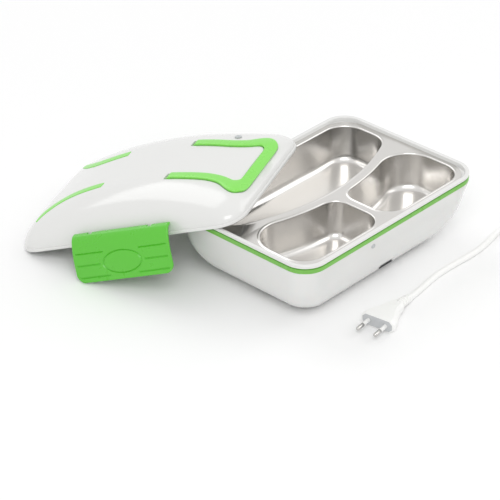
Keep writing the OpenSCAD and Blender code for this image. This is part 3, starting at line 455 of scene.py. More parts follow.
def moulded(name, rgb, rough=0.25, coat=0.0, change=0.02, grain=0.9, height=0.01, soft=0.0):
    """Plastic from a mould: even colour, faint orange peel 1 to 2 mm wide, and a gloss that varies from place to
    place, some 17 mm wide, as the melt cooled."""
    mat, s = finish(name)
    tinted(mat, s, rgb, change, 0.02)
    mottled(mat, s.inputs["Roughness"], rough * 0.88, rough * 1.14, 0.06)
    bumped(mat, s, grain, height)
    s.inputs["IOR"].default_value = 1.5
    s.inputs["Coat Weight"].default_value = coat
    s.inputs["Coat Roughness"].default_value = 0.12
    if soft:
        s.inputs["Subsurface Weight"].default_value = soft
        s.inputs["Subsurface Scale"].default_value = 0.0015
    return mat


def brushed(name, rgb, rough=0.28, along=(14, 900, 900), height=0.004, change=0.05, uneven=0.2):
    """Worked metal: lines along one axis pull its highlights out across them. Real lines are about 0.1 mm wide and
    would not show, so that they are drawn 1 to 2 mm wide."""
    mat, s = finish(name)
    tinted(mat, s, rgb, change, 0.05)
    mottled(mat, s.inputs["Roughness"], rough * (1 - uneven), rough * (1 + uneven), 1.0, along)
    bumped(mat, s, 1.0, height, along)
    s.inputs["Metallic"].default_value = 1.0
    return mat


def rubbery(name, rgb, rough=0.6, height=0.02):
    """Rubber or silicone from a matt mould: dull, with bumps half a millimetre wide and no clear reflection."""
    mat, s = finish(name)
    tinted(mat, s, rgb, 0.06, 0.3)
    mottled(mat, s.inputs["Roughness"], rough * 0.9, min(1.0, rough * 1.15), 0.5)
    bumped(mat, s, 2.2, height)
    return mat


def felted(name, rgb):
    """Needled felt: tufts of fibre 0.8 mm wide and 2.4 mm long, with no gloss."""
    mat, s = finish(name)
    tinted(mat, s, rgb, 0.16, 1.4)
    mottled(mat, s.inputs["Roughness"], 0.85, 1.0, 0.8)
    bumped(mat, s, 1.2, 0.35, (1000, 350, 1000), 6.0)
    return mat


def laminated(name, rgb):
    """Woven glass under lacquer: threads a quarter of a millimetre apart show faintly through a smooth surface."""
    mat, s = finish(name)
    weave = node(mat, "ShaderNodeTexWave", {"Scale": 1.4, "Distortion": 0.6}, Vector=place(mat))
    between(mat, s, rgb, 0.85, 1.12, weave.outputs["Fac"])
    mottled(mat, s.inputs["Roughness"], 0.26, 0.4, 0.4)
    return mat


def polished(name, rgb):
    """Acrylic from a polished mould: small, sharp reflection over a frosted grey."""
    mat, s = finish(name)
    tinted(mat, s, rgb, 0.1, 0.4)
    mottled(mat, s.inputs["Roughness"], 0.08, 0.16, 0.5)
    s.inputs["Coat Weight"].default_value = 0.6
    s.inputs["Coat Roughness"].default_value = 0.05
    return mat


def papered(name, rgb):
    """Uncoated paper: matt, with fibres too fine to show and a tone that drifts a little over 250 mm."""
    mat, s = finish(name)
    tinted(mat, s, rgb, 0.004, 0.004)
    s.inputs["Roughness"].default_value = 0.85
    s.inputs["Specular IOR Level"].default_value = 0.1
    return mat


def finishes():
    """Every finish by name: its maker, its colour and its settings."""
    c = colours()
    glossy = dict(grain=0.5, height=0.003)
    nickel = dict(rough=0.2, along=(900, 200, 200), height=0.001)
    return {
        # glossy ABS of the tub: bright white with some depth, soft-edged reflections of the lamps
        "moulded_abs_shell_white": (moulded, c.shell, dict(rough=0.22, coat=0.35, change=0.012, soft=0.04)),
        # the rim comes from a better polished tool: its edges draw thin bright lines
        "moulded_abs_rim_white": (moulded, c.shell, dict(rough=0.2, coat=0.4, change=0.01)),
        # the lid is the glossiest moulding: long clear highlights run over the dome
        "moulded_abs_lid_white": (moulded, c.shell, dict(rough=0.17, coat=0.5, change=0.01)),
        # ABS coloured through: a flat, fresh green with a narrow sheen along the band
        "moulded_abs_band_green": (moulded, c.band, dict(rough=0.3, coat=0.2, **glossy)),
        # inlays and handle are a lighter green, smooth, with soft highlights on their rounded edges
        "moulded_abs_inlay_green": (moulded, c.handle, dict(rough=0.3, coat=0.15, **glossy)),
        "moulded_abs_handle_green": (moulded, c.handle, dict(rough=0.28, coat=0.2, **glossy)),
        # polypropylene of the latches: deeper green, waxy sheen that shows their grooves
        "moulded_polypropylene_green": (moulded, c.latch, dict(rough=0.3, coat=0.15, **glossy)),
        # stainless sheet, pressed and satin finished: bright folds and soft grey walls. Its finish is too fine for
        # lines, and what shows is a gentle unevenness 14 mm wide and 80 mm long
        "pressed_satin_stainless": (brushed, c.steel, dict(rough=0.25, along=(12, 70, 70), height=0.0004,
                                                           change=0.01, uneven=0.04)),
        # pale grey acrylic, unlit: a dull disc with one small glint
        "moulded_acrylic_grey": (polished, linear("b7babb"), {}),
        # painted shade: dark matt nylon behind the slot, so that it reads as the black line of the slot's shade
        "moulded_nylon_screen": (moulded, linear("303134"), dict(rough=0.6)),
        # soft silicone: a matt grey stud that stands out from the gloss of the lid
        "pressed_silicone_grey": (rubbery, linear("c2c5c7"), dict(rough=0.5)),
        # soft PVC drawn over the wires: nearly white, low sheen along the lead
        "extruded_pvc_white": (moulded, c.lead, dict(rough=0.38, change=0.015, height=0.006)),
        # the same PVC moulded on as plug and reliefs: slightly glossier, with a fine orange peel
        "moulded_pvc_white": (moulded, c.lead, dict(rough=0.32, change=0.015, height=0.012)),
        # nylon of the pin carrier, matt mid grey: painted shade, darker than the plug's white so that its face reads
        # as in shade and stays flat and quiet
        "moulded_nylon_grey": (moulded, linear("c3c5c7"), dict(rough=0.42)),
        # nylon sleeves on the pins: off-white, a little glossier than the carrier
        "moulded_nylon_white": (moulded, linear("f0f0ee"), dict(rough=0.36)),
        # turned or stamped brass under nickel: bright and slightly warm, with marks across the pins
        "turned_nickel_plated_brass": (brushed, linear("c9c7c4"), nickel),
        "stamped_nickel_plated_brass": (brushed, linear("c8c6c2"), nickel),
        # headed screws with bright zinc: cool grey, highlights broken in patches 3 mm wide
        "headed_zinc_plated_steel": (brushed, linear("bfc1c4"), dict(rough=0.26, along=(300, 300, 300), height=0.002)),
        # rolled aluminium: pale, with lines 2 mm wide along the plate in place of the finer ones
        "rolled_aluminium": (brushed, linear("cfd2d5"), dict(rough=0.34, along=(20, 500, 500), height=0.004)),
        # drawn steel rod: a bright line along it, broken by faint rings
        "drawn_steel": (brushed, linear("c4c6c8"), dict(rough=0.18, along=(900, 60, 60), height=0.001)),
        # liner of the lid: plain white without the shell's gloss
        "moulded_polypropylene_white": (moulded, linear("dcdcd8"), dict(rough=0.36)),
        # bottom cover from an etched tool: matt grain, drawn 0.6 mm wide, greyer than the shell
        "etched_abs_white": (moulded, linear("d6d6d2"), dict(rough=0.42, height=0.05, grain=1.6)),
        # rubber feet: matt mid grey
        "pressed_rubber_grey": (rubbery, linear("7c7e80"), dict(rough=0.7)),
        # insulation: cream fibres without any gloss
        "needled_glass_felt": (felted, linear("ddd4bd"), {}),
        # fired heater stone: sandy and dry
        "fired_heater_ceramic": (moulded, linear("b9ab92"), dict(rough=0.75, change=0.08, height=0.05)),
        # glazed body of the fuse: off-white with a dull shine
        "glazed_fuse_ceramic": (moulded, linear("e2ded4"), dict(rough=0.5, change=0.04)),
        # phenolic resin of the thermostat: uneven brown
        "pressed_phenolic_brown": (moulded, linear("5d4030"), dict(rough=0.45, change=0.12)),
        # glass-filled nylon of the inlet: near black with a fine matt grain
        "moulded_nylon_black": (moulded, linear("2a2c2e"), dict(rough=0.42, height=0.03)),
        # coloured PVC over the inner wires: a plain sheen
        "extruded_pvc_brown": (moulded, linear("6b4024"), dict(rough=0.4)),
        "extruded_pvc_blue": (moulded, linear("2f62a8"), dict(rough=0.4)),
        "extruded_pvc_red": (moulded, linear("b83a33"), dict(rough=0.4)),
        # circuit board: green lacquer over a faint weave
        "lacquered_glass_laminate": (laminated, linear("2f7a4a"), {}),
        # gasket: pale silicone, smoother than the valve
        "extruded_silicone_grey": (rubbery, linear("c2c7ca"), dict(rough=0.45, height=0.008)),
        # floor of rolled-out paper: near white, without reflections, so that only soft shadows show
        "uncoated_white_paper": (papered, linear("fbfbfb"), {}),
    }


made_finishes = {}


def made(name):
    """The finish of that name, which is made once."""
    if name not in made_finishes:
        maker, rgb, settings = finishes()[name]
        made_finishes[name] = maker(name, rgb, **settings)
    return made_finishes[name]


# ---------------------------------------------------------------- base

def band_foot():
    """Height at which the tub ends and the coloured band begins."""
    return sizes().base_height - LIP_FACE - BAND


def hull_lean(z):
    """How far the tub's wall leans in from the rim outline at height z: in proportion to the drop from the band."""
    return DRAFT * (band_foot() - z) / band_foot()


def hull_bilge(z):
    """Extra inset of the bilge at height z: a quarter of an ellipse."""
    return BILGE_W * (1 - math.sqrt(max(0.0, 1 - ((BILGE_H - max(z, 0.0)) / BILGE_H) ** 2))) if z < BILGE_H else 0.0


def hull_at(z, inset=0.0):
    """Section of the tub at height z: the rim's rounded rectangle, drawn in by lean, bilge and inset."""
    s = sizes()
    dx, dy = (hull_lean(z) + share * hull_bilge(z) + inset for share in (1.0, LONG_BILGE))
    return at_height(rounded(s.base_length / 2 - dx, s.base_width / 2 - dy, s.corner_radius - CORNER_PULL * dx), z)


def near_wall(z):
    """Place along y of the near long wall's outer face at height z."""
    return -sizes().base_width / 2 + hull_lean(z) + LONG_BILGE * hull_bilge(z)


def rim_ring_at(inset, z, radius=None):
    """The rim's rounded rectangle drawn in by inset, at height z."""
    s = sizes()
    r = s.corner_radius - inset if radius is None else radius
    return at_height(rounded(s.base_length / 2 - inset, s.base_width / 2 - inset, max(r, 1.0)), z)


class OBJECT_OT_lunch_tub(bpy.types.Operator):
    """Moulded tub of the base with its rounded bilge, its openings, and a dark screen in its vent slot as painted
    shade
    """
    bl_idname = "object.lunch_tub"
    bl_label = "Tub"

    def execute(self, context):
        s = sizes()
        top, low, cover = band_foot(), FOOT + 0.02, FOOT + COVER_SEAT
        # outer skin from the cover's opening round the bilge, in even steps of its angle, and up to the band
        rise = BILGE_H * (1 - np.cos(np.linspace(0, math.pi / 2, 15)[1:]))
        outer = [hull_at(low, 0.5)] + [hull_at(z) for z in low + 0.4 + rise * (BILGE_H - low) / BILGE_H]
        outer += [hull_at(z) for z in np.linspace(BILGE_H + 2, top - 0.3, 9)] + [hull_at(top, 0.25)]
        inner = [hull_at(z - WALL_DROP, WALL) + (0, 0, WALL_DROP) for z in (top, 52, 40, 33, 26, 19, 13, 9, LEDGE)]
        # opening of the cover: its half sizes drawn in or out, its corner radius and its height
        cover_x = s.base_length / 2 - hull_lean(FOOT) - hull_bilge(FOOT) - COVER_IN
        cover_y = s.base_width / 2 - hull_lean(FOOT) - LONG_BILGE * hull_bilge(FOOT) - COVER_IN
        steps = ((-LEDGE_IN, 10, LEDGE), (-LEDGE_IN, 10, cover), (0.3, 14.3, cover), (0.3, 14.3, low))
        hole = [at_height(rounded(cover_x + grow, cover_y + grow, r), z) for grow, r, z in steps]
        tub = solid("tub", loft(outer + inner + hole, closed=True))
        lamp_z = s.base_height - LAMP_DROP
        vent_at = (VENT_X, near_wall(VENT_Z), VENT_Z)
        shaped(tub, cut=[
            rod(2.1, -2, 8, (LAMP_X, near_wall(lamp_z) - 2, lamp_z), Y, 40),
            slanted(box_of((-VENT_L / 2, -6, -VENT_H / 2), (VENT_L / 2, 9, VENT_H / 2)), vent_at, VENT_SLANT),
            box_of((-s.base_length / 2, NOTCH_Y[0], 0), (-cover_x - 2, NOTCH_Y[1], FOOT + NOTCH_H)),
            box_of(*zip(INLET_X, INLET_Y, INLET_Z))])
        dress(tub, "moulded_abs_shell_white", "heated_base", "shell", "base_shell")
        # the dark screen just behind the slot's mouth is painted shade: it makes the slot read as a dark line
        half_l, half_h = VENT_L / 2 - 0.05, VENT_H / 2 - 0.05
        screen = slanted(box_of((-half_l, 0.4, -half_h), (half_l, 1.4, half_h)), vent_at, VENT_SLANT)
        dress(solid("vent_slot_painted_shade", screen), "moulded_nylon_screen", "heated_base", "black_plastic")
        return {"FINISHED"}


class OBJECT_OT_lunch_rim(bpy.types.Operator):
    """White rim with the tray's ledge, and the coloured band let into it"""
    bl_idname = "object.lunch_rim"
    bl_label = "Rim and band"

    def execute(self, context):
        h = sizes().base_height
        lip, shell = h - LIP_FACE, band_foot()
        seat = h - FLANGE_DROP - STEEL_T - SEAT_GAP
        # section as inset and height, with a corner radius where the ring keeps its own: lip, ledge, snap rib
        section = [(0.05, lip + 0.05), (0, lip + 0.3), (0, h - 0.9), (0.09, h - 0.5), (0.35, h - 0.15), (0.8, h),
                   (3.0, h), (3.5, h - 0.12), (3.85, h - 0.4), (4.0, h - 0.9), (4.0, seat + 0.5), (4.15, seat + 0.12),
                   (4.5, seat), (8.6, seat), (8.9, seat - 0.12), (9.0, seat - 0.4), (9.0, seat - 2.1),
                   (8.7, seat - 2.4), (8.1, seat - 2.4), (8.1, shell), (6.45, shell, 22), (6.45, shell - 6, 22),
                   (4.5, shell - 6, 24), (4.5, shell, 24), (2, shell), (2, lip + 0.05)]
        rim = solid("rim", loft([rim_ring_at(*step) for step in reversed(section)], closed=True))
        # pocket behind the lamp for its board
        shaped(rim, cut=[box_of((LAMP_X - 9, -84, shell - 7), (LAMP_X + 9, -71.5, shell - 1))])
        dress(rim, "moulded_abs_rim_white", "heated_base", "rim", "rim_ring")
        # the band stops short of the lip, and the narrow gap over it reads as a dark line
        band = [(2, shell + 0.05), (0.25, shell + 0.05), (0.0, shell + 0.3), (0.0, lip - 1.5), (0.1, lip - 1.35),
                (0.3, lip - 1.3), (1.3, lip - 1.3), (1.3, lip - 0.05), (2, lip - 0.05)]
        stripe = solid("band", loft([rim_ring_at(i, z) for i, z in band], closed=True))
        dress(stripe, "moulded_abs_band_green", "heated_base", "band", "trim_band")
        return {"FINISHED"}


class OBJECT_OT_lunch_lamp(bpy.types.Operator):
    """Domed lens of the status lamp in its bezel"""
    bl_idname = "object.lunch_lamp"
    bl_label = "Status lamp"

    def execute(self, context):
        z = sizes().base_height - LAMP_DROP
        # dome, bezel on the wall, stem through it and collar behind it
        profile = [(0, -0.8), (1, -0.72), (1.7, -0.45), (1.95, -0.2), (2.1, -0.35), (2.6, -0.3), (2.75, -0.05),
                   (2.75, 0.02), (1.8, 0.02), (1.8, 4.2), (2.7, 4.3), (2.8, 4.5), (2.8, 5.0), (2.5, 5.1), (0, 5.1)]
        lamp = slanted(turned(profile, axis=Y, n=36), (LAMP_X, near_wall(z), z), LAMP_SLANT)
        dress(solid("lamp_lens", lamp), "moulded_acrylic_grey", "heated_base", "lens", "status_lens")
        return {"FINISHED"}


# ---------------------------------------------------------------- tray

def pan_outline(which, d, n=9):
    """Opening of a compartment drawn inwards by d: 0 is the large one, 1 and -1 the small ones to the right and the
    left. It is a chain of circle arcs, each touching the next: two circles that touch have their centres the sum or
    the difference of their radii apart, and that places the corners beside the wavy bridge."""
    s = sizes()
    pan_x, pan_y = s.base_length / 2 - PAN_IN[0], s.base_width / 2 - PAN_IN[1]
    wave_c = WAVE_Y + WAVE_R
    if which == 0:
        front, back = 22.0, 24.0
        x = pan_x - 2
        cx = x - front
        cy = wave_c - math.sqrt((WAVE_R - front) ** 2 - cx * cx)
        a = math.degrees(math.atan2(cy - wave_c, cx))
        return np.concatenate([arc(x - back, pan_y - back, back - d, 0, 90, n),
                               arc(back - x, pan_y - back, back - d, 90, 180, n),
                               arc(-cx, cy, front - d, 180, 180 - a, n),
                               arc(0, wave_c, WAVE_R - d, -180 - a + 1, a - 1, 5 * n),
                               arc(cx, cy, front - d, a, 0, n)])
    outer, bay, inner, crook = 22.0, 30.0, 20.0, 16.0
    r, left = WAVE_R + BRIDGE, BRIDGE / 2
    bx = pan_x - bay
    by = wave_c - math.sqrt((r + bay) ** 2 - bx * bx)
    bay_end = math.degrees(math.atan2(by - wave_c, bx))
    kx = left + crook
    ky = wave_c - math.sqrt((r + crook) ** 2 - kx * kx)
    crook_end = math.degrees(math.atan2(ky - wave_c, kx))
    ring = np.concatenate([arc(pan_x - outer, outer - pan_y, outer - d, -90, 0, n),
                           arc(bx, by, bay - d, 0, bay_end + 180, n + 3),
                           arc(0, wave_c, r + d, bay_end - 0.8, crook_end + 0.5, 3 * n),
                           arc(kx, ky, crook - d, crook_end + 180, 180, n),
                           arc(left + inner, inner - pan_y, inner - d, 180, 270, n)])
    return ring if which > 0 else (ring * (-1, 1))[::-1]


class OBJECT_OT_lunch_tray(bpy.types.Operator):
    """Pressed steel tray: flange, three compartments with rolled mouths"""
    bl_idname = "object.lunch_tray"
    bl_label = "Steel tray"

    def execute(self, context):
        s = sizes()
        top, depth = s.base_height - FLANGE_DROP, s.pan_depth
        # steps down into a compartment as inset and depth: raised bead and rolled mouth, wall, quarter-circle fillet
        steps = [(-3.3, 0.0), (-2.9, -0.08), (-2.45, -0.3), (-1.95, -0.52), (-1.4, -0.6), (-0.9, -0.48), (-0.5, -0.16),
                 (-0.2, 0.35), (-0.05, 0.95), (0.0, MOUTH)]
        steps += [(PAN_DRAFT * t, MOUTH + (depth - PAN_FILLET - MOUTH) * t) for t in (0.3, 0.65, 1.0)]
        steps += [(PAN_DRAFT + PAN_FILLET * (1 - math.cos(a)), depth - PAN_FILLET * (1 - math.sin(a)))
                  for a in np.radians([12, 25, 38, 51, 64, 77, 90])]
        steps.append((PAN_DRAFT + PAN_FILLET + 2, depth))
        a, b = s.base_length / 2 - FLANGE_IN, s.base_width / 2 - FLANGE_IN
        edge = at_height(rounded(a, b, s.corner_radius + 4, 14, 20, 12), top)
        points, faces, loops, base = [edge], [], [np.arange(len(edge))], len(edge)
        for which in (0, 1, -1):
            rings = [at_height(pan_outline(which, inset), top - down) for inset, down in steps]
            n = len(rings[0])
            last = base + (len(rings) - 1) * n
            faces += [grid_quads(len(rings), n, first=base), last + np.arange(n)[None, :]]
            loops.append(base + np.arange(n))
            points += rings
            base = last + n
        points = np.concatenate(points)
        # the flange is a flat sheet with three holes, in triangles that all face up
        flat = tessellate_polygon([[Vector((*points[i][:2], 0)) for i in loop] for loop in loops])
        tris = np.concatenate(loops)[np.array(flat)]
        one, other = points[tris[:, 1]] - points[tris[:, 0]], points[tris[:, 2]] - points[tris[:, 0]]
        down = one[:, 0] * other[:, 1] < one[:, 1] * other[:, 0]
        tris[down] = tris[down][:, ::-1]
        tray = solid("tray", (points, faces + [tris]), 30, closed=False)
        sheet = tray.modifiers.new("metal", "SOLIDIFY")
        sheet.thickness, sheet.offset, sheet.use_even_offset = STEEL_T * 0.001, -1, True
        settle(tray, 30)
        dress(tray, "pressed_satin_stainless", "tray", "steel", "food_tray")
        return {"FINISHED"}


# ---------------------------------------------------------------- lid

def lid_origin():
    """Where the middle of the leaning lid's rim plane lies. The lid stands on its lower end, so the height of a point
    of that plane is its way up the slope times the slope's sine. Its two long rims lie across the upper edges of the
    base's left and far sides, 0.4 mm over them."""
    s = sizes()
    inner = s.lid_width / 2 - LID_RIM
    cross = (s.base_height + 0.4) / math.sin(s.lid_slope) - s.lid_length / 2
    x = -s.base_length / 2 - inner * math.sin(s.lid_turn)
    y = s.base_width / 2 - inner * math.cos(s.lid_turn)
    run = cross * math.cos(s.lid_slope)
    return np.array([x - run * math.cos(s.lid_turn), y - run * math.sin(s.lid_turn),
                     s.lid_length / 2 * math.sin(s.lid_slope)])


def tilt(obj):
    """Moves a mesh from the lid's own frame to where the lid leans."""
    s = sizes()
    turn = Matrix.Rotation(s.lid_turn, 4, "Z") @ Matrix.Rotation(-s.lid_slope, 4, "Y")
    obj.data.transform(Matrix.Translation(lid_origin() * 0.001) @ turn)
    obj.data.update()
    return obj


def lid_ring(inset, z):
    """The lid's outline drawn in by inset, at height z, with as many points as the dome's rings."""
    s = sizes()
    return at_height(rounded(s.lid_length / 2 - inset, s.lid_width / 2 - inset, s.corner_radius - inset, 14, 40, 1), z)


def crown(x):
    """Height of the dome's long arch: it falls by x squared over twice the arch's radius."""
    return sizes().dome_height - x * x / (2 * ARCH)


def dome_size():
    """Half length, half width and corner radius of the dome at its foot, 1 mm inside the rim."""
    s = sizes()
    return s.lid_length / 2 - 1, s.lid_width / 2 - 1, s.corner_radius - 1


def dome_fraction(x, y):
    """Share of the way from the crown panel, 0, to the foot of the dome, 1. Over the sides it is the distance from the
    panel's edge. In the corners the circle through the point has its centre and its radius at the same share of the
    way from the panel's corner circle to the foot's, which gives a quadratic equation for that share."""
    a, b, r = dome_size()
    ax, ay = np.abs(x), np.abs(y)
    sx, pr = a - r, PANEL_X - (a - r)
    ends = np.maximum(0, (ax - PANEL_X) / (a - PANEL_X))
    k, g = (b - r) - (PANEL_Y - pr), r - pr
    px, py = ax - sx, ay - (PANEL_Y - pr)
    qa, qb, qc = k * k - g * g, 2 * k * py + 2 * pr * g, px * px + py * py - pr * pr
    corner = np.clip((qb - np.sqrt(np.maximum(0, qb * qb - 4 * qa * qc))) / (2 * qa), 0, 1)
    flank = np.maximum(0, (ay - PANEL_Y) / (b - PANEL_Y))
    return np.where(ax <= sx, flank, np.where(ay <= (PANEL_Y - pr) + k * ends, ends, corner))


def dome_z(x, y):
    """Height of the dome: share to the power p plus height to the power p is 1, between the crown and the lip."""
    s = np.minimum(dome_fraction(x, y), 0.9995)
    return LID_LIP + (crown(x) - LID_LIP) * (1 - s ** DOME_P) ** (1 / DOME_P)


def dome_normal(x, y):
    """Unit normal of the dome, from its heights e to each side of the point."""
    e = 0.4
    n = np.stack([dome_z(x - e, y) - dome_z(x + e, y), dome_z(x, y - e) - dome_z(x, y + e),
                  np.full(np.shape(x), 2 * e)], -1)
    return n / np.linalg.norm(n, axis=-1, keepdims=True)


def dome_ring(share, skin=0.0, drop=0.0):
    """Ring at a share of the way from crown to foot, drawn in by skin at the foot and lowered by drop."""
    a, b, r = dome_size()
    foot = rounded(a - skin, b - skin, r - skin, 14, 40, 1)
    panel_r = max(PANEL_X - (a - r) - skin / 2, 1)
    panel = rounded(PANEL_X - skin / 2, PANEL_Y - skin / 2, panel_r, 14, 40, 1)
    ring = panel + (foot - panel) * share
    rise = (1 - share ** DOME_P) ** (1 / DOME_P)
    return at_height(ring, LID_LIP + (crown(ring[:, 0]) - LID_LIP) * rise - drop)


def dome_steps(count):
    """Shares of the way from crown to foot, evenly spaced in angle round the superellipse."""
    return np.sin(np.linspace(0, math.pi / 2, count)) ** (2 / DOME_P)


def crown_cap(n, first, up):
    """Quads from side to side that close a ring of n points over the crown."""
    i = np.arange(n // 2 - 1)
    quads = first + np.stack([i, i + 1, n - 2 - i, n - 1 - i], 1)
    return quads if up else quads[:, ::-1]


def draped(pairs, section, steps=4, grow=0.0):
    """Ribbon over the dome between pairs of plan points, made wider by grow on both sides. A point of the section
    (share across, inset in mm, height in mm) stands on the dome's surface, its height along the normal there."""
    fine = spline(np.reshape(pairs, (len(pairs), 4)), steps)
    p, q = fine[:, None, :2], fine[:, None, 2:]
    width = np.linalg.norm(q - p, axis=-1, keepdims=True)
    across = (q - p) / width
    share, inset, up = np.array(section, float).T[:, None, :, None]
    at = p + across * ((width + 2 * grow) * share + inset - grow)
    x, y = at[..., 0], at[..., 1]
    return loft(np.concatenate([at, dome_z(x, y)[..., None]], -1) + dome_normal(x, y) * up)


def bar_section(low, high, r, swell=0.0):
    """Section of a rounded bar for draped: flat under, quarter circles of radius r at its upper edges, and a top
    crowned by a parabola of height swell."""
    out = [(f, 0.0, low) for f in (0.15, 0.4, 0.6, 0.85)] + [(1, -0.35, low), (1, 0, low + 0.35)]
    quarter = [(r * (1 - math.cos(a)), high - r + r * math.sin(a)) for a in np.radians([0, 22, 45, 67, 90])]
    out += [(1, -inset, h) for inset, h in quarter]
    out += [(f, 0, high + swell * (1 - (2 * f - 1) ** 2)) for f in (0.75, 0.62, 0.5, 0.38, 0.25)]
    out += [(0, inset, h) for inset, h in reversed(quarter)]
    return out + [(0, 0, low + 0.35), (0, 0.35, low)]


def flat_section(low, high):
    """Square-edged section for draped, between two heights over the dome."""
    return [(0, 0, low), (0.5, 0, low), (1, 0, low), (1, 0, high), (0.64, 0, high), (0.36, 0, high), (0, 0, high)]


def handle_path():
    """The whole handle in plan: its near arm, its bow, and its far arm."""
    near = [((a[0], -a[1]), (b[0], -b[1])) for a, b in HALF_HANDLE]
    return near + HALF_HANDLE[-2::-1]


def near_side(shape):
    """Mirror image on the near side of the lid."""
    return shape[0] * (1, -1, 1), [f[:, ::-1] for f in shape[1]]


def on_dome(x, y):
    """Point of the dome's surface and its normal there."""
    x, y = np.array(x, float), np.array(y, float)
    return np.array([x, y, dome_z(x, y)]), dome_normal(x, y)


def hinge_z():
    """Height of the handle's hinge line, sunk under the surface of the dome."""
    return on_dome(HINGE_X, ARM_Y)[0][2] - HINGE_SINK


class OBJECT_OT_lunch_lid(bpy.types.Operator):
    """Domed lid with its rim, channels for handle and inlays, hinge pockets and rod lugs"""
    bl_idname = "object.lunch_lid"
    bl_label = "Lid"

    def execute(self, context):
        # inner skin from crown to rim, the rim's foot and lip, and the outer skin back to the crown
        rings = [dome_ring(f, LID_RIM - 1, LID_WALL) for f in dome_steps(22)[:-1]] + [lid_ring(LID_RIM, 0.35)]
        rings += [lid_ring(*step) for step in ((LID_RIM - 0.35, 0.0), (0.5, 0.0), (0.15, 0.15), (0.0, 0.5),
                                               (0.0, LID_LIP - 0.55), (0.13, LID_LIP - 0.2), (0.45, LID_LIP - 0.02),
                                               (0.85, LID_LIP), (1.05, LID_LIP + 0.15))]
        rings += [dome_ring(f) for f in dome_steps(40)[-2::-1]]
        n = len(rings[0])
        points, faces = loft(rings, caps=False)
        faces += [crown_cap(n, 0, False), crown_cap(n, (len(rings) - 1) * n, True)]
        lid = solid("lid", (points, faces))
        hz, add, cut = hinge_z(), [], []
        for side in (-1, 1):
            arm_y, rod_y = side * ARM_Y, side * BARREL_Y
            # block under the skin, pocket for the handle's knuckle, and bore of its pin
            add.append(box_of((HINGE_X - 7, arm_y - 8.75, hz - 4.4), (HINGE_X + 7, arm_y + 8.75, hz - 1.4)))
            for x in (-LUG_X, LUG_X):
                at = (x - LUG_L / 2, rod_y, BARREL_Z)
                y0, y1 = sorted((rod_y - side * 6, rod_y))
                add.append(rod(LUG_R, 0, LUG_L, at, X, 36, 0.3))
                add.append(box_of((at[0] + 0.01, y0, BARREL_Z - LUG_R), (at[0] + LUG_L - 0.01, y1, BARREL_Z + 0.2)))
                cut.append(rod(1.16, -1, LUG_L + 1, at, X, 24))
            cut.append(box_of((HINGE_X - 4.4, arm_y - 5.55, hz - 2.7), (HINGE_X + 3.8, arm_y + 5.55, hz + 9)))
            cut.append(rod(0.96, -7.25, 7.25, (HINGE_X, arm_y, hz), Y, 24))
        channel = draped(handle_path(), flat_section(-CHANNEL, 6.0), grow=0.8)
        inlay = draped(HALF_INLAY, flat_section(-CHANNEL, 6.0))
        # finger scoop beside the handle's bow: a cap of a sphere
        reach = np.linspace(0, SCOOP_OUT, 18)
        scoop = [(q, SCOOP_R - SCOOP_DEPTH - math.sqrt(SCOOP_R ** 2 - q * q)) for q in reach]
        scoop += [(SCOOP_OUT, 14), (0, 14)]
        cut += [channel, inlay, near_side(inlay), turned(scoop, *on_dome(*SCOOP_AT), 96),
                rod(2.2, -8, 4, *on_dome(*VALVE_AT), 32)]
        tilt(shaped(lid, add, cut, 32))
        dress(lid, "moulded_abs_lid_white", "lid", "shell", "lid_shell")
        return {"FINISHED"}


class OBJECT_OT_lunch_trims(bpy.types.Operator):
    """Coloured inlay strips and the steam valve of the lid"""
    bl_idname = "object.lunch_trims"
    bl_label = "Inlays and valve"

    def execute(self, context):
        strip = draped(HALF_INLAY, bar_section(-0.8, 0.5, 0.35), 6, -0.12)
        for name, shape, stands_for in (("inlay_far_side", strip, "inlay_far"),
                                        ("inlay_near_side", near_side(strip), "inlay_near")):
            dress(tilt(solid(name, shape, 50)), "moulded_abs_inlay_green", "lid", "handle_green", stands_for)
        # stem in the lid, cap with a soft edge, and a shallow dish in its top
        profile = [(0, -3.7), (1.7, -3.7), (2.0, -3.4), (2.0, 0.35), (3.2, 0.35), (3.45, 0.5), (3.5, 0.75), (3.4, 1.1),
                   (3.1, 1.3), (2.6, 1.38), (1.3, 1.36), (1.1, 1.25), (1.0, 0.9), (0, 0.85)]
        valve = tilt(solid("vent_plug", turned(profile, *on_dome(*VALVE_AT), 48)))
        dress(valve, "pressed_silicone_grey", "lid", "valve", "steam_valve")
        return {"FINISHED"}


class OBJECT_OT_lunch_handle(bpy.types.Operator):
    """Carrying bail that lies in the lid's channel, with its hinge knuckles"""
    bl_idname = "object.lunch_handle"
    bl_label = "Handle"

    def execute(self, context):
        bail = solid("bail", draped(handle_path(), bar_section(-0.7, 2.05, 0.85, 0.22), 6), 50)
        half = ARM_W / 2 - 0.1
        hinges = [(HINGE_X, side * ARM_Y, hinge_z()) for side in (-1, 1)]
        shaped(bail, [rod(KNUCKLE_R, -half, half, at, Y, 40, 0.4) for at in hinges],
               [rod(1.0, -6, 6, at, Y, 24) for at in hinges], 45)
        dress(tilt(bail), "moulded_abs_handle_green", "handle", "handle_green", "carry_handle")
        return {"FINISHED"}


# ---------------------------------------------------------------- latches

def groove(distance):
    """Depth of a rounded groove at a distance from its middle line: a cosine bell."""
    bell = 0.5 + 0.5 * np.cos(2 * np.pi * distance / GROOVE_W)
    return GROOVE_D * np.where(np.abs(distance) < GROOVE_W / 2, bell, 0.0)


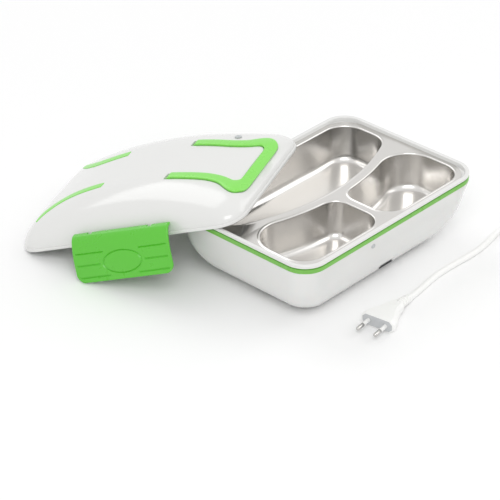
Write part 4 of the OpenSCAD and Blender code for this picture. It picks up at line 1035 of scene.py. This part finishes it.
def latch_shape():
    """Far latch: one curved section carried along x, measured by the way s down its outer face. That face
    sinks in the grooves and round the edges, and each section ends where the rounded corners do."""
    half = LATCH_L / 2
    rim = np.array([0.05, 0.15, 0.3, 0.55, EDGE_R])
    x = np.unique(np.concatenate([np.linspace(-half, half, 230), half - rim, rim - half]))
    line = spline(FLAP_LINE, 8)
    way = np.concatenate([[0], np.cumsum(np.linalg.norm(np.diff(line, axis=0), axis=1))])
    across = np.gradient(line, way, axis=0)
    across = np.stack([-across[:, 1], across[:, 0]], 1) / np.linalg.norm(across, axis=1, keepdims=True)
    # a section's lower end lies on the corner's circle
    in_corner = np.clip(np.abs(x) - (half - CORNER), 0, CORNER)
    low = FLAP_LINE[-1][1] + CORNER - np.sqrt(CORNER ** 2 - in_corner ** 2)
    falling = line[:, 1].argmax()
    end = np.interp(-low, -line[falling:, 1], way[falling:])[:, None]

    def face(s, depth):
        """Points at way s, sunk under the outer face by a depth."""
        at = [np.interp(s, way, line[:, k]) - depth * np.interp(s, way, across[:, k]) for k in (0, 1)]
        return np.stack([np.broadcast_to(x[:, None], s.shape) + LATCH_X, BARREL_Y + at[0], BARREL_Z + at[1]], -1)

    s = end * np.linspace(0, 1, 124)[None, :]
    aside = np.abs(x)[:, None]
    # oval ring in the middle: its distance is the excess of the relative radius over 1, times a mean radius
    ring = np.hypot(aside / RING_X, (s - RING_S) / RING_H)
    sink = groove((ring - 1) * RING_MEAN)
    # straight lines to each side of it, which fade out over 1.2 mm at their ends
    for at, x0, x1 in LINES:
        along = np.clip((aside - x0) / 1.2, 0, 1) * np.clip((x1 - aside) / 1.2, 0, 1)
        sink = np.maximum(sink, groove(s - at) * along)
    # quarter circle round the side edges and the lower edge
    beside, below = (np.clip(EDGE_R - room, 0, EDGE_R) for room in (half - aside, end - s))
    soft = np.minimum(np.hypot(beside, below), EDGE_R)
    outer = face(s, sink + EDGE_R - np.sqrt(EDGE_R ** 2 - soft ** 2))
    inner = face(end + (0.3 - end) * np.linspace(0, 1, 30)[None, :], LATCH_T)
    return loft(np.concatenate([outer, inner], 1))


class OBJECT_OT_lunch_latches(bpy.types.Operator):
    """Hinged side latches with their moulded grip lines and barrels"""
    bl_idname = "object.lunch_latches"
    bl_label = "Latches"

    def execute(self, context):
        half = LATCH_L / 2
        # barrel round the rod, and snap bead on the inside near the lower edge
        add = [rod(BARREL_R, 4 - half, half - 4, (LATCH_X, BARREL_Y, BARREL_Z), X, 48, 0.4),
               rod(1.4, 12 - half, half - 12, (LATCH_X, BARREL_Y + 18.6, BARREL_Z + FLAP_LINE[-1][1] + 4), X, 28, 0.3)]
        # bore for the rod, and gaps for the lid's lugs
        cut = [rod(1.22, -half - 2, half + 2, (0, BARREL_Y, BARREL_Z), X, 28)]
        gap, room = LUG_L / 2 + LUG_PLAY, LUG_R + LUG_ROOM
        for x in (-LUG_X, LUG_X):
            cut.append(rod(room, -gap, gap, (x, BARREL_Y, BARREL_Z), X, 32))
            cut.append(box_of((x - gap + 0.01, BARREL_Y - 8, BARREL_Z - room),
                              (x + gap - 0.01, BARREL_Y + 2.2, BARREL_Z + 11.3)))
        far = ("far_flap", latch_shape(), add, cut, "far_latch", "latch_far")
        near = ("near_flap", near_side(far[1]), [near_side(a) for a in add], [near_side(c) for c in cut],
                "near_latch", "latch_near")
        for name, flap, adds, cuts, body, stands_for in (far, near):
            latch = tilt(shaped(solid(name, flap), adds, cuts))
            dress(latch, "moulded_polypropylene_green", body, "latch_green", stands_for)
        return {"FINISHED"}


# ---------------------------------------------------------------- mains lead

def eased(t, start, end):
    """0 before start, 1 after end, and two parabola halves between."""
    u = np.clip((t - start) / (end - start), 0, 1)
    return np.where(u < 0.5, 2 * u * u, 1 - 2 * (1 - u) ** 2)


def lead_path():
    """Centre line of the whole lead in mm: the loose stretch, the wound turns, and the end at the connector.
    A turn lies a diameter inside or over the one before it."""
    d = sizes().cord_diameter
    turns = np.linspace(0, COIL_TURNS, int(COIL_TURNS * 60) + 1)
    radius = COIL_R + d / 2 - d * eased(turns, 0.75, 1.0) + d * eased(turns, 2.5, 2.75)
    height = d / 2 + d * eased(turns, 1.68, 1.9)
    turn = np.pi / 2 - 2 * np.pi * turns
    coil = np.stack([COIL_AT[0] + radius * np.cos(turn), COIL_AT[1] + radius * np.sin(turn), height], 1)
    return evenly(np.concatenate([spline(LEAD_ROUTE, 4), [COIL_ENTRY], coil, spline(TAIL_ROUTE, 3)]), 2.5)


def pipe(path, radii, sides=20):
    """Tube whose ring at each point stands square to the path: radius times cosine and sine of even angles."""
    p = np.asarray(path, float)
    t = np.gradient(p, axis=0)
    t /= np.linalg.norm(t, axis=1, keepdims=True)
    s = np.cross(t, (0, 0, 1))
    s /= np.linalg.norm(s, axis=1, keepdims=True)
    u = np.cross(s, t)
    a = (np.arange(sides) * 2 * np.pi / sides)[None, :, None]
    r = np.broadcast_to(radii, len(p))[:, None, None]
    return loft(p[:, None] + r * (np.cos(a) * s[:, None] + np.sin(a) * u[:, None]))


def plug_place(shape):
    """Moves a shape from the plug's frame to where the plug lies."""
    c, n = math.cos(PLUG_TURN), math.sin(PLUG_TURN)
    return shape[0] @ np.array([(c, n, 0), (-n, c, 0), (0, 0, 1)]) + PLUG_AT, shape[1]


def moulding(stations, fine=7, round_end=0.7, edge=None):
    """Smooth body through stations (x, half width, half thickness, corner), each a rounded rectangle across x, or
    one with straight-cut corners where edge gives a radius. Its two ends are drawn in on a quarter circle."""
    rows = spline(stations, fine)
    q = np.linspace(0, np.pi / 2, 5)[:, None]
    drawn_in = round_end * np.hstack([1 - np.cos(q)] + 3 * [np.sin(q) - 1])
    low, high = rows[0, 0] + round_end, rows[-1, 0] - round_end
    inside = rows[(rows[:, 0] > low) & (rows[:, 0] < high)]
    rings = []
    for x, w, h, r in np.concatenate([rows[0] + drawn_in, inside, rows[-1] + (drawn_in * (-1, 1, 1, 1))[::-1]]):
        p = eight_sided(w, h, min(r, h - 2 * edge), edge) if edge else rounded(w, h, min(r, w, h) - 0.02, 8, 6, 2)
        rings.append(np.column_stack([np.full(len(p), x), p]))
    return loft(rings)


def ribbed(length, start, drop):
    """Strain relief: its radius tapers from start to just over the lead's, with five ribs whose sides rise on
    3 u squared minus 2 u cubed, while its middle line sinks by drop."""
    ribs, plain = 5, length - 4
    x = np.linspace(0, length, 27 * ribs)
    phase = (x % (plain / ribs)) / (plain / ribs)
    rib = np.clip(np.minimum(phase, 0.74 - phase) / 0.08, 0, 1) * (x < plain)
    rib = rib * rib * (3 - 2 * rib)
    taper = start - (start - CORD_R - 0.9) * np.clip(x / plain, 0, 1)
    core = CORD_R + 0.15
    radius = core + (taper - core) * rib - 0.35 * np.clip((x - length + 0.6) / 0.6, 0, 1) ** 2
    return pipe(np.stack([x, 0 * x, -drop * x / length], 1), radius, 36)


class OBJECT_OT_lunch_lead(bpy.types.Operator):
    """Mains lead in one length, with its plug, strain reliefs and appliance connector"""
    bl_idname = "object.lunch_lead"
    bl_label = "Mains lead"

    def execute(self, context):
        diameter = sizes().cord_diameter

        def piece(name, shape, sharp, finish_name, *nodes, slot="lead_white"):
            """A piece of the lead, which rides on the base."""
            return dress(solid(name, shape, sharp), finish_name, "heated_base", slot, *nodes)

        path = lead_path()
        lead = piece("mains_lead", pipe(path, diameter / 2), 40, "extruded_pvc_white",
                     "cord_lead", "cord_coil", "cord_tail")

        plug = moulding([(0.35, 17.1, 6.4, 3.6), (1.5, 17.6, 6.8, 3.8), (6, 17.4, 6.8, 3.8), (13, 14.6, 6.8, 3.6),
                         (20, 11, 6.7, 3.2), (26.5, 8.9, 6.5, 2.8), (28.6, 8.3, 5.5, 2.6), (PLUG_L, 7.2, 5.0, 2.6)],
                        round_end=0.4, edge=1.1)
        plug = piece("plug_moulding", plug_place(plug), 32, "moulded_pvc_white", "plug_body")
        # the grey pin carrier is painted shade on the plug's face, which is really white like the body
        face = moulding([(x, 16.1, 5.5, 3.2) for x in (0, 1, 2)], 2, 0.25, 0.8)
        face = piece("pin_carrier_painted_shade", plug_place(face), 32, "moulded_nylon_grey")
        # a pin with its rounded tip and the neck that its sleeve grips
        pin = [(0, 0), (1.0, 0.02), (1.45, 0.25), (1.8, 0.8), (1.98, 1.6), (2.0, 2.2), (2.0, 9.4), (1.85, 9.6),
               (1.5, 9.7), (1.5, 25), (0, 25)]
        sleeve = [(1.52, 9.75), (1.85, 9.75), (1.95, 9.95), (1.95, 19.2), (1.95, 21), (1.52, 21)]
        ends = [(-PIN_L, side * PIN_GAP / 2, 0) for side in (-1, 1)]
        pins, sleeves = (plug_place(joined(*(turned(profile, at, X, 36) for at in ends))) for profile in (pin, sleeve))
        prongs = piece("plug_prongs", pins, 45, "turned_nickel_plated_brass", "plug_pins", slot="pin")
        sleeves = piece("prong_sleeves", sleeves, 45, "moulded_nylon_white")
        relief = plug_place(moved(ribbed(26, 5.4, 3.4), (PLUG_L, 0, 0)))
        relief = piece("plug_relief", relief, 60, "moulded_pvc_white", "plug_sleeve")

        tail = moved(ribbed(20, 4.6, 0.2), CONNECTOR_AT)
        tail = piece("connector_relief", tail, 60, "moulded_pvc_white", "connector_sleeve")
        shell = moulding([(-CONNECTOR_L, 7.8, 3.9, 3.8), (-18, 7.9, 4.0, 3.9), (-12, 8, 4.1, 4), (-10, 9.3, 5.3, 5),
                          (-6, 9, 5.4, 5), (0, 5.7, 5, 4.6)], 6, 0.5)
        shell = solid("connector_moulding", moved(shell, CONNECTOR_AT), 50)
        mouths = [np.add(CONNECTOR_AT, (-CONNECTOR_L, side * CONNECTOR_GAP / 2, 0)) for side in (-1, 1)]
        shaped(shell, cut=[rod(1.4, -1, 12, at, X, 24) for at in mouths], sharp=50)
        dress(shell, "moulded_pvc_white", "heated_base", "lead_white", "connector_body")
        return {"FINISHED"}


# ---------------------------------------------------------------- parts that keep their own solids

INNER_FINISHES = {
    "bottom_cover": "etched_abs_white",
    "rubber_feet": "pressed_rubber_grey",
    "cover_screws": "headed_zinc_plated_steel",
    "plate_screws": "headed_zinc_plated_steel",
    "clamp_screws": "headed_zinc_plated_steel",
    "insulation_mat": "needled_glass_felt",
    "heating_plate": "rolled_aluminium",
    "heater_clamp": "rolled_aluminium",
    "ptc_heater": "fired_heater_ceramic",
    "thermostat": "pressed_phenolic_brown",
    "thermal_fuse": "glazed_fuse_ceramic",
    "inlet_socket": "moulded_nylon_black",
    "inlet_pins": "stamped_nickel_plated_brass",
    "live_wire": "extruded_pvc_brown",
    "neutral_wire": "extruded_pvc_blue",
    "fuse_wire": "extruded_pvc_red",
    "status_board": "lacquered_glass_laminate",
    "lid_liner": "moulded_polypropylene_white",
    "lid_gasket": "extruded_silicone_grey",
    "handle_pins": "drawn_steel",
    "latch_rod_near": "drawn_steel",
    "latch_rod_far": "drawn_steel",
}


class OBJECT_OT_lunch_inner(bpy.types.Operator):
    """Finishes for the heater, wiring, fasteners and other inner parts"""
    bl_idname = "object.lunch_inner"
    bl_label = "Inner parts"

    def execute(self, context):
        for name, finish_name in INNER_FINISHES.items():
            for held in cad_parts[name].material_slots:
                held.material = made(finish_name)
        return {"FINISHED"}


# ---------------------------------------------------------------- stage

class OBJECT_OT_lunch_stage(bpy.types.Operator):
    """Camera, pale floor and soft studio light"""
    bl_idname = "object.lunch_stage"
    bl_label = "Stage"

    def execute(self, context):
        # the camera looks along -back, and is rolled about that line
        azimuth, elevation, roll = map(math.radians, CAMERA_TURN)
        back = Vector((math.sin(azimuth) * math.cos(elevation), -math.cos(azimuth) * math.cos(elevation),
                       math.sin(elevation)))
        right = Vector((math.cos(azimuth), math.sin(azimuth), 0))
        up = back.cross(right)
        c, n = math.cos(roll), math.sin(roll)
        right, up = c * right + n * up, c * up - n * right
        lens = bpy.data.cameras.new("camera")
        lens.lens, lens.sensor_width, lens.clip_end = CAMERA_LENS, 36.0, 20.0
        camera = bpy.data.objects.new("camera", lens)
        context.scene.collection.objects.link(camera)
        camera.matrix_world = (Matrix.Translation(Vector(CAMERA_AIM) + CAMERA_FAR * back)
                               @ Matrix((right, up, back)).transposed().to_4x4())
        context.scene.camera = camera
        context.scene.view_settings.view_transform = "Standard"

        ring = at_height(rounded(3200, 3200, 400, 8, 2, 2), -0.05)
        floor = solid("floor", (ring, [np.arange(len(ring))[None, :]]), closed=False)
        floor.data.materials.append(made("uncoated_white_paper"))

        for name, at, side, power in LAMPS:
            lamp = bpy.data.lights.new(name, "AREA")
            lamp.size, lamp.energy = side, power
            light = bpy.data.objects.new(name, lamp)
            context.scene.collection.objects.link(light)
            light.location = at
            light.rotation_euler = (Vector(LAMP_AIM) - Vector(at)).to_track_quat("-Z", "Y").to_euler()

        # the room lights the box softly, and is pure white where it is seen, reflected or seen through
        world = bpy.data.worlds.new("studio")
        context.scene.world = world
        world.use_nodes = True
        tree = world.node_tree
        plain = tree.nodes["Background"]
        plain.inputs["Color"].default_value = (1, 1, 1, 1)
        plain.inputs["Strength"].default_value = AMBIENT
        seen = node(world, "ShaderNodeBackground", {"Color": (1, 1, 1, 1)})
        rays = node(world, "ShaderNodeLightPath")
        seen_by = rays.outputs["Is Camera Ray"]
        for kind in ("Is Glossy Ray", "Is Transmission Ray"):
            either = node(world, "ShaderNodeMath", {"operation": "MAXIMUM"})
            tree.links.new(seen_by, either.inputs[0])
            tree.links.new(rays.outputs[kind], either.inputs[1])
            seen_by = either.outputs["Value"]
        mix = node(world, "ShaderNodeMixShader", Fac=seen_by)
        tree.links.new(plain.outputs["Background"], mix.inputs[1])
        tree.links.new(seen.outputs["Background"], mix.inputs[2])
        tree.links.new(mix.outputs["Shader"], tree.nodes["World Output"].inputs["Surface"])
        return {"FINISHED"}


class VIEW3D_PT_lunch_box(bpy.types.Panel):
    """Sizes, colours and build steps of the lunch box"""
    bl_idname = "VIEW3D_PT_lunch_box"
    bl_label = "Lunch box"
    bl_space_type = "VIEW_3D"
    bl_region_type = "UI"
    bl_category = "Lunch box"

    def draw(self, context):
        layout = self.layout
        for group in (context.scene.lunch_box_sizes, context.scene.lunch_box_colours):
            for name in group.__annotations__:
                layout.prop(group, name)
        for step in STEPS:
            layout.operator(step.bl_idname)


STEPS = (OBJECT_OT_lunch_stage, OBJECT_OT_lunch_lead, OBJECT_OT_lunch_tub, OBJECT_OT_lunch_rim, OBJECT_OT_lunch_lamp,
         OBJECT_OT_lunch_tray, OBJECT_OT_lunch_lid, OBJECT_OT_lunch_trims, OBJECT_OT_lunch_handle,
         OBJECT_OT_lunch_latches, OBJECT_OT_lunch_inner)
CLASSES = (LunchBoxSizes, LunchBoxColours, *STEPS, VIEW3D_PT_lunch_box)


def register():
    """Makes the sizes, the colours, the build steps and the panel known."""
    for cls in CLASSES:
        bpy.utils.register_class(cls)
    bpy.types.Scene.lunch_box_sizes = bpy.props.PointerProperty(type=LunchBoxSizes)
    bpy.types.Scene.lunch_box_colours = bpy.props.PointerProperty(type=LunchBoxColours)


def unregister():
    """Takes them away again, last ones first."""
    del bpy.types.Scene.lunch_box_colours
    del bpy.types.Scene.lunch_box_sizes
    for cls in reversed(CLASSES):
        bpy.utils.unregister_class(cls)


def main():
    """Runs every build step."""
    register()
    for step in STEPS:
        group, name = step.bl_idname.split(".")
        getattr(getattr(bpy.ops, group), name)()


if __name__ == "__main__":
    main()
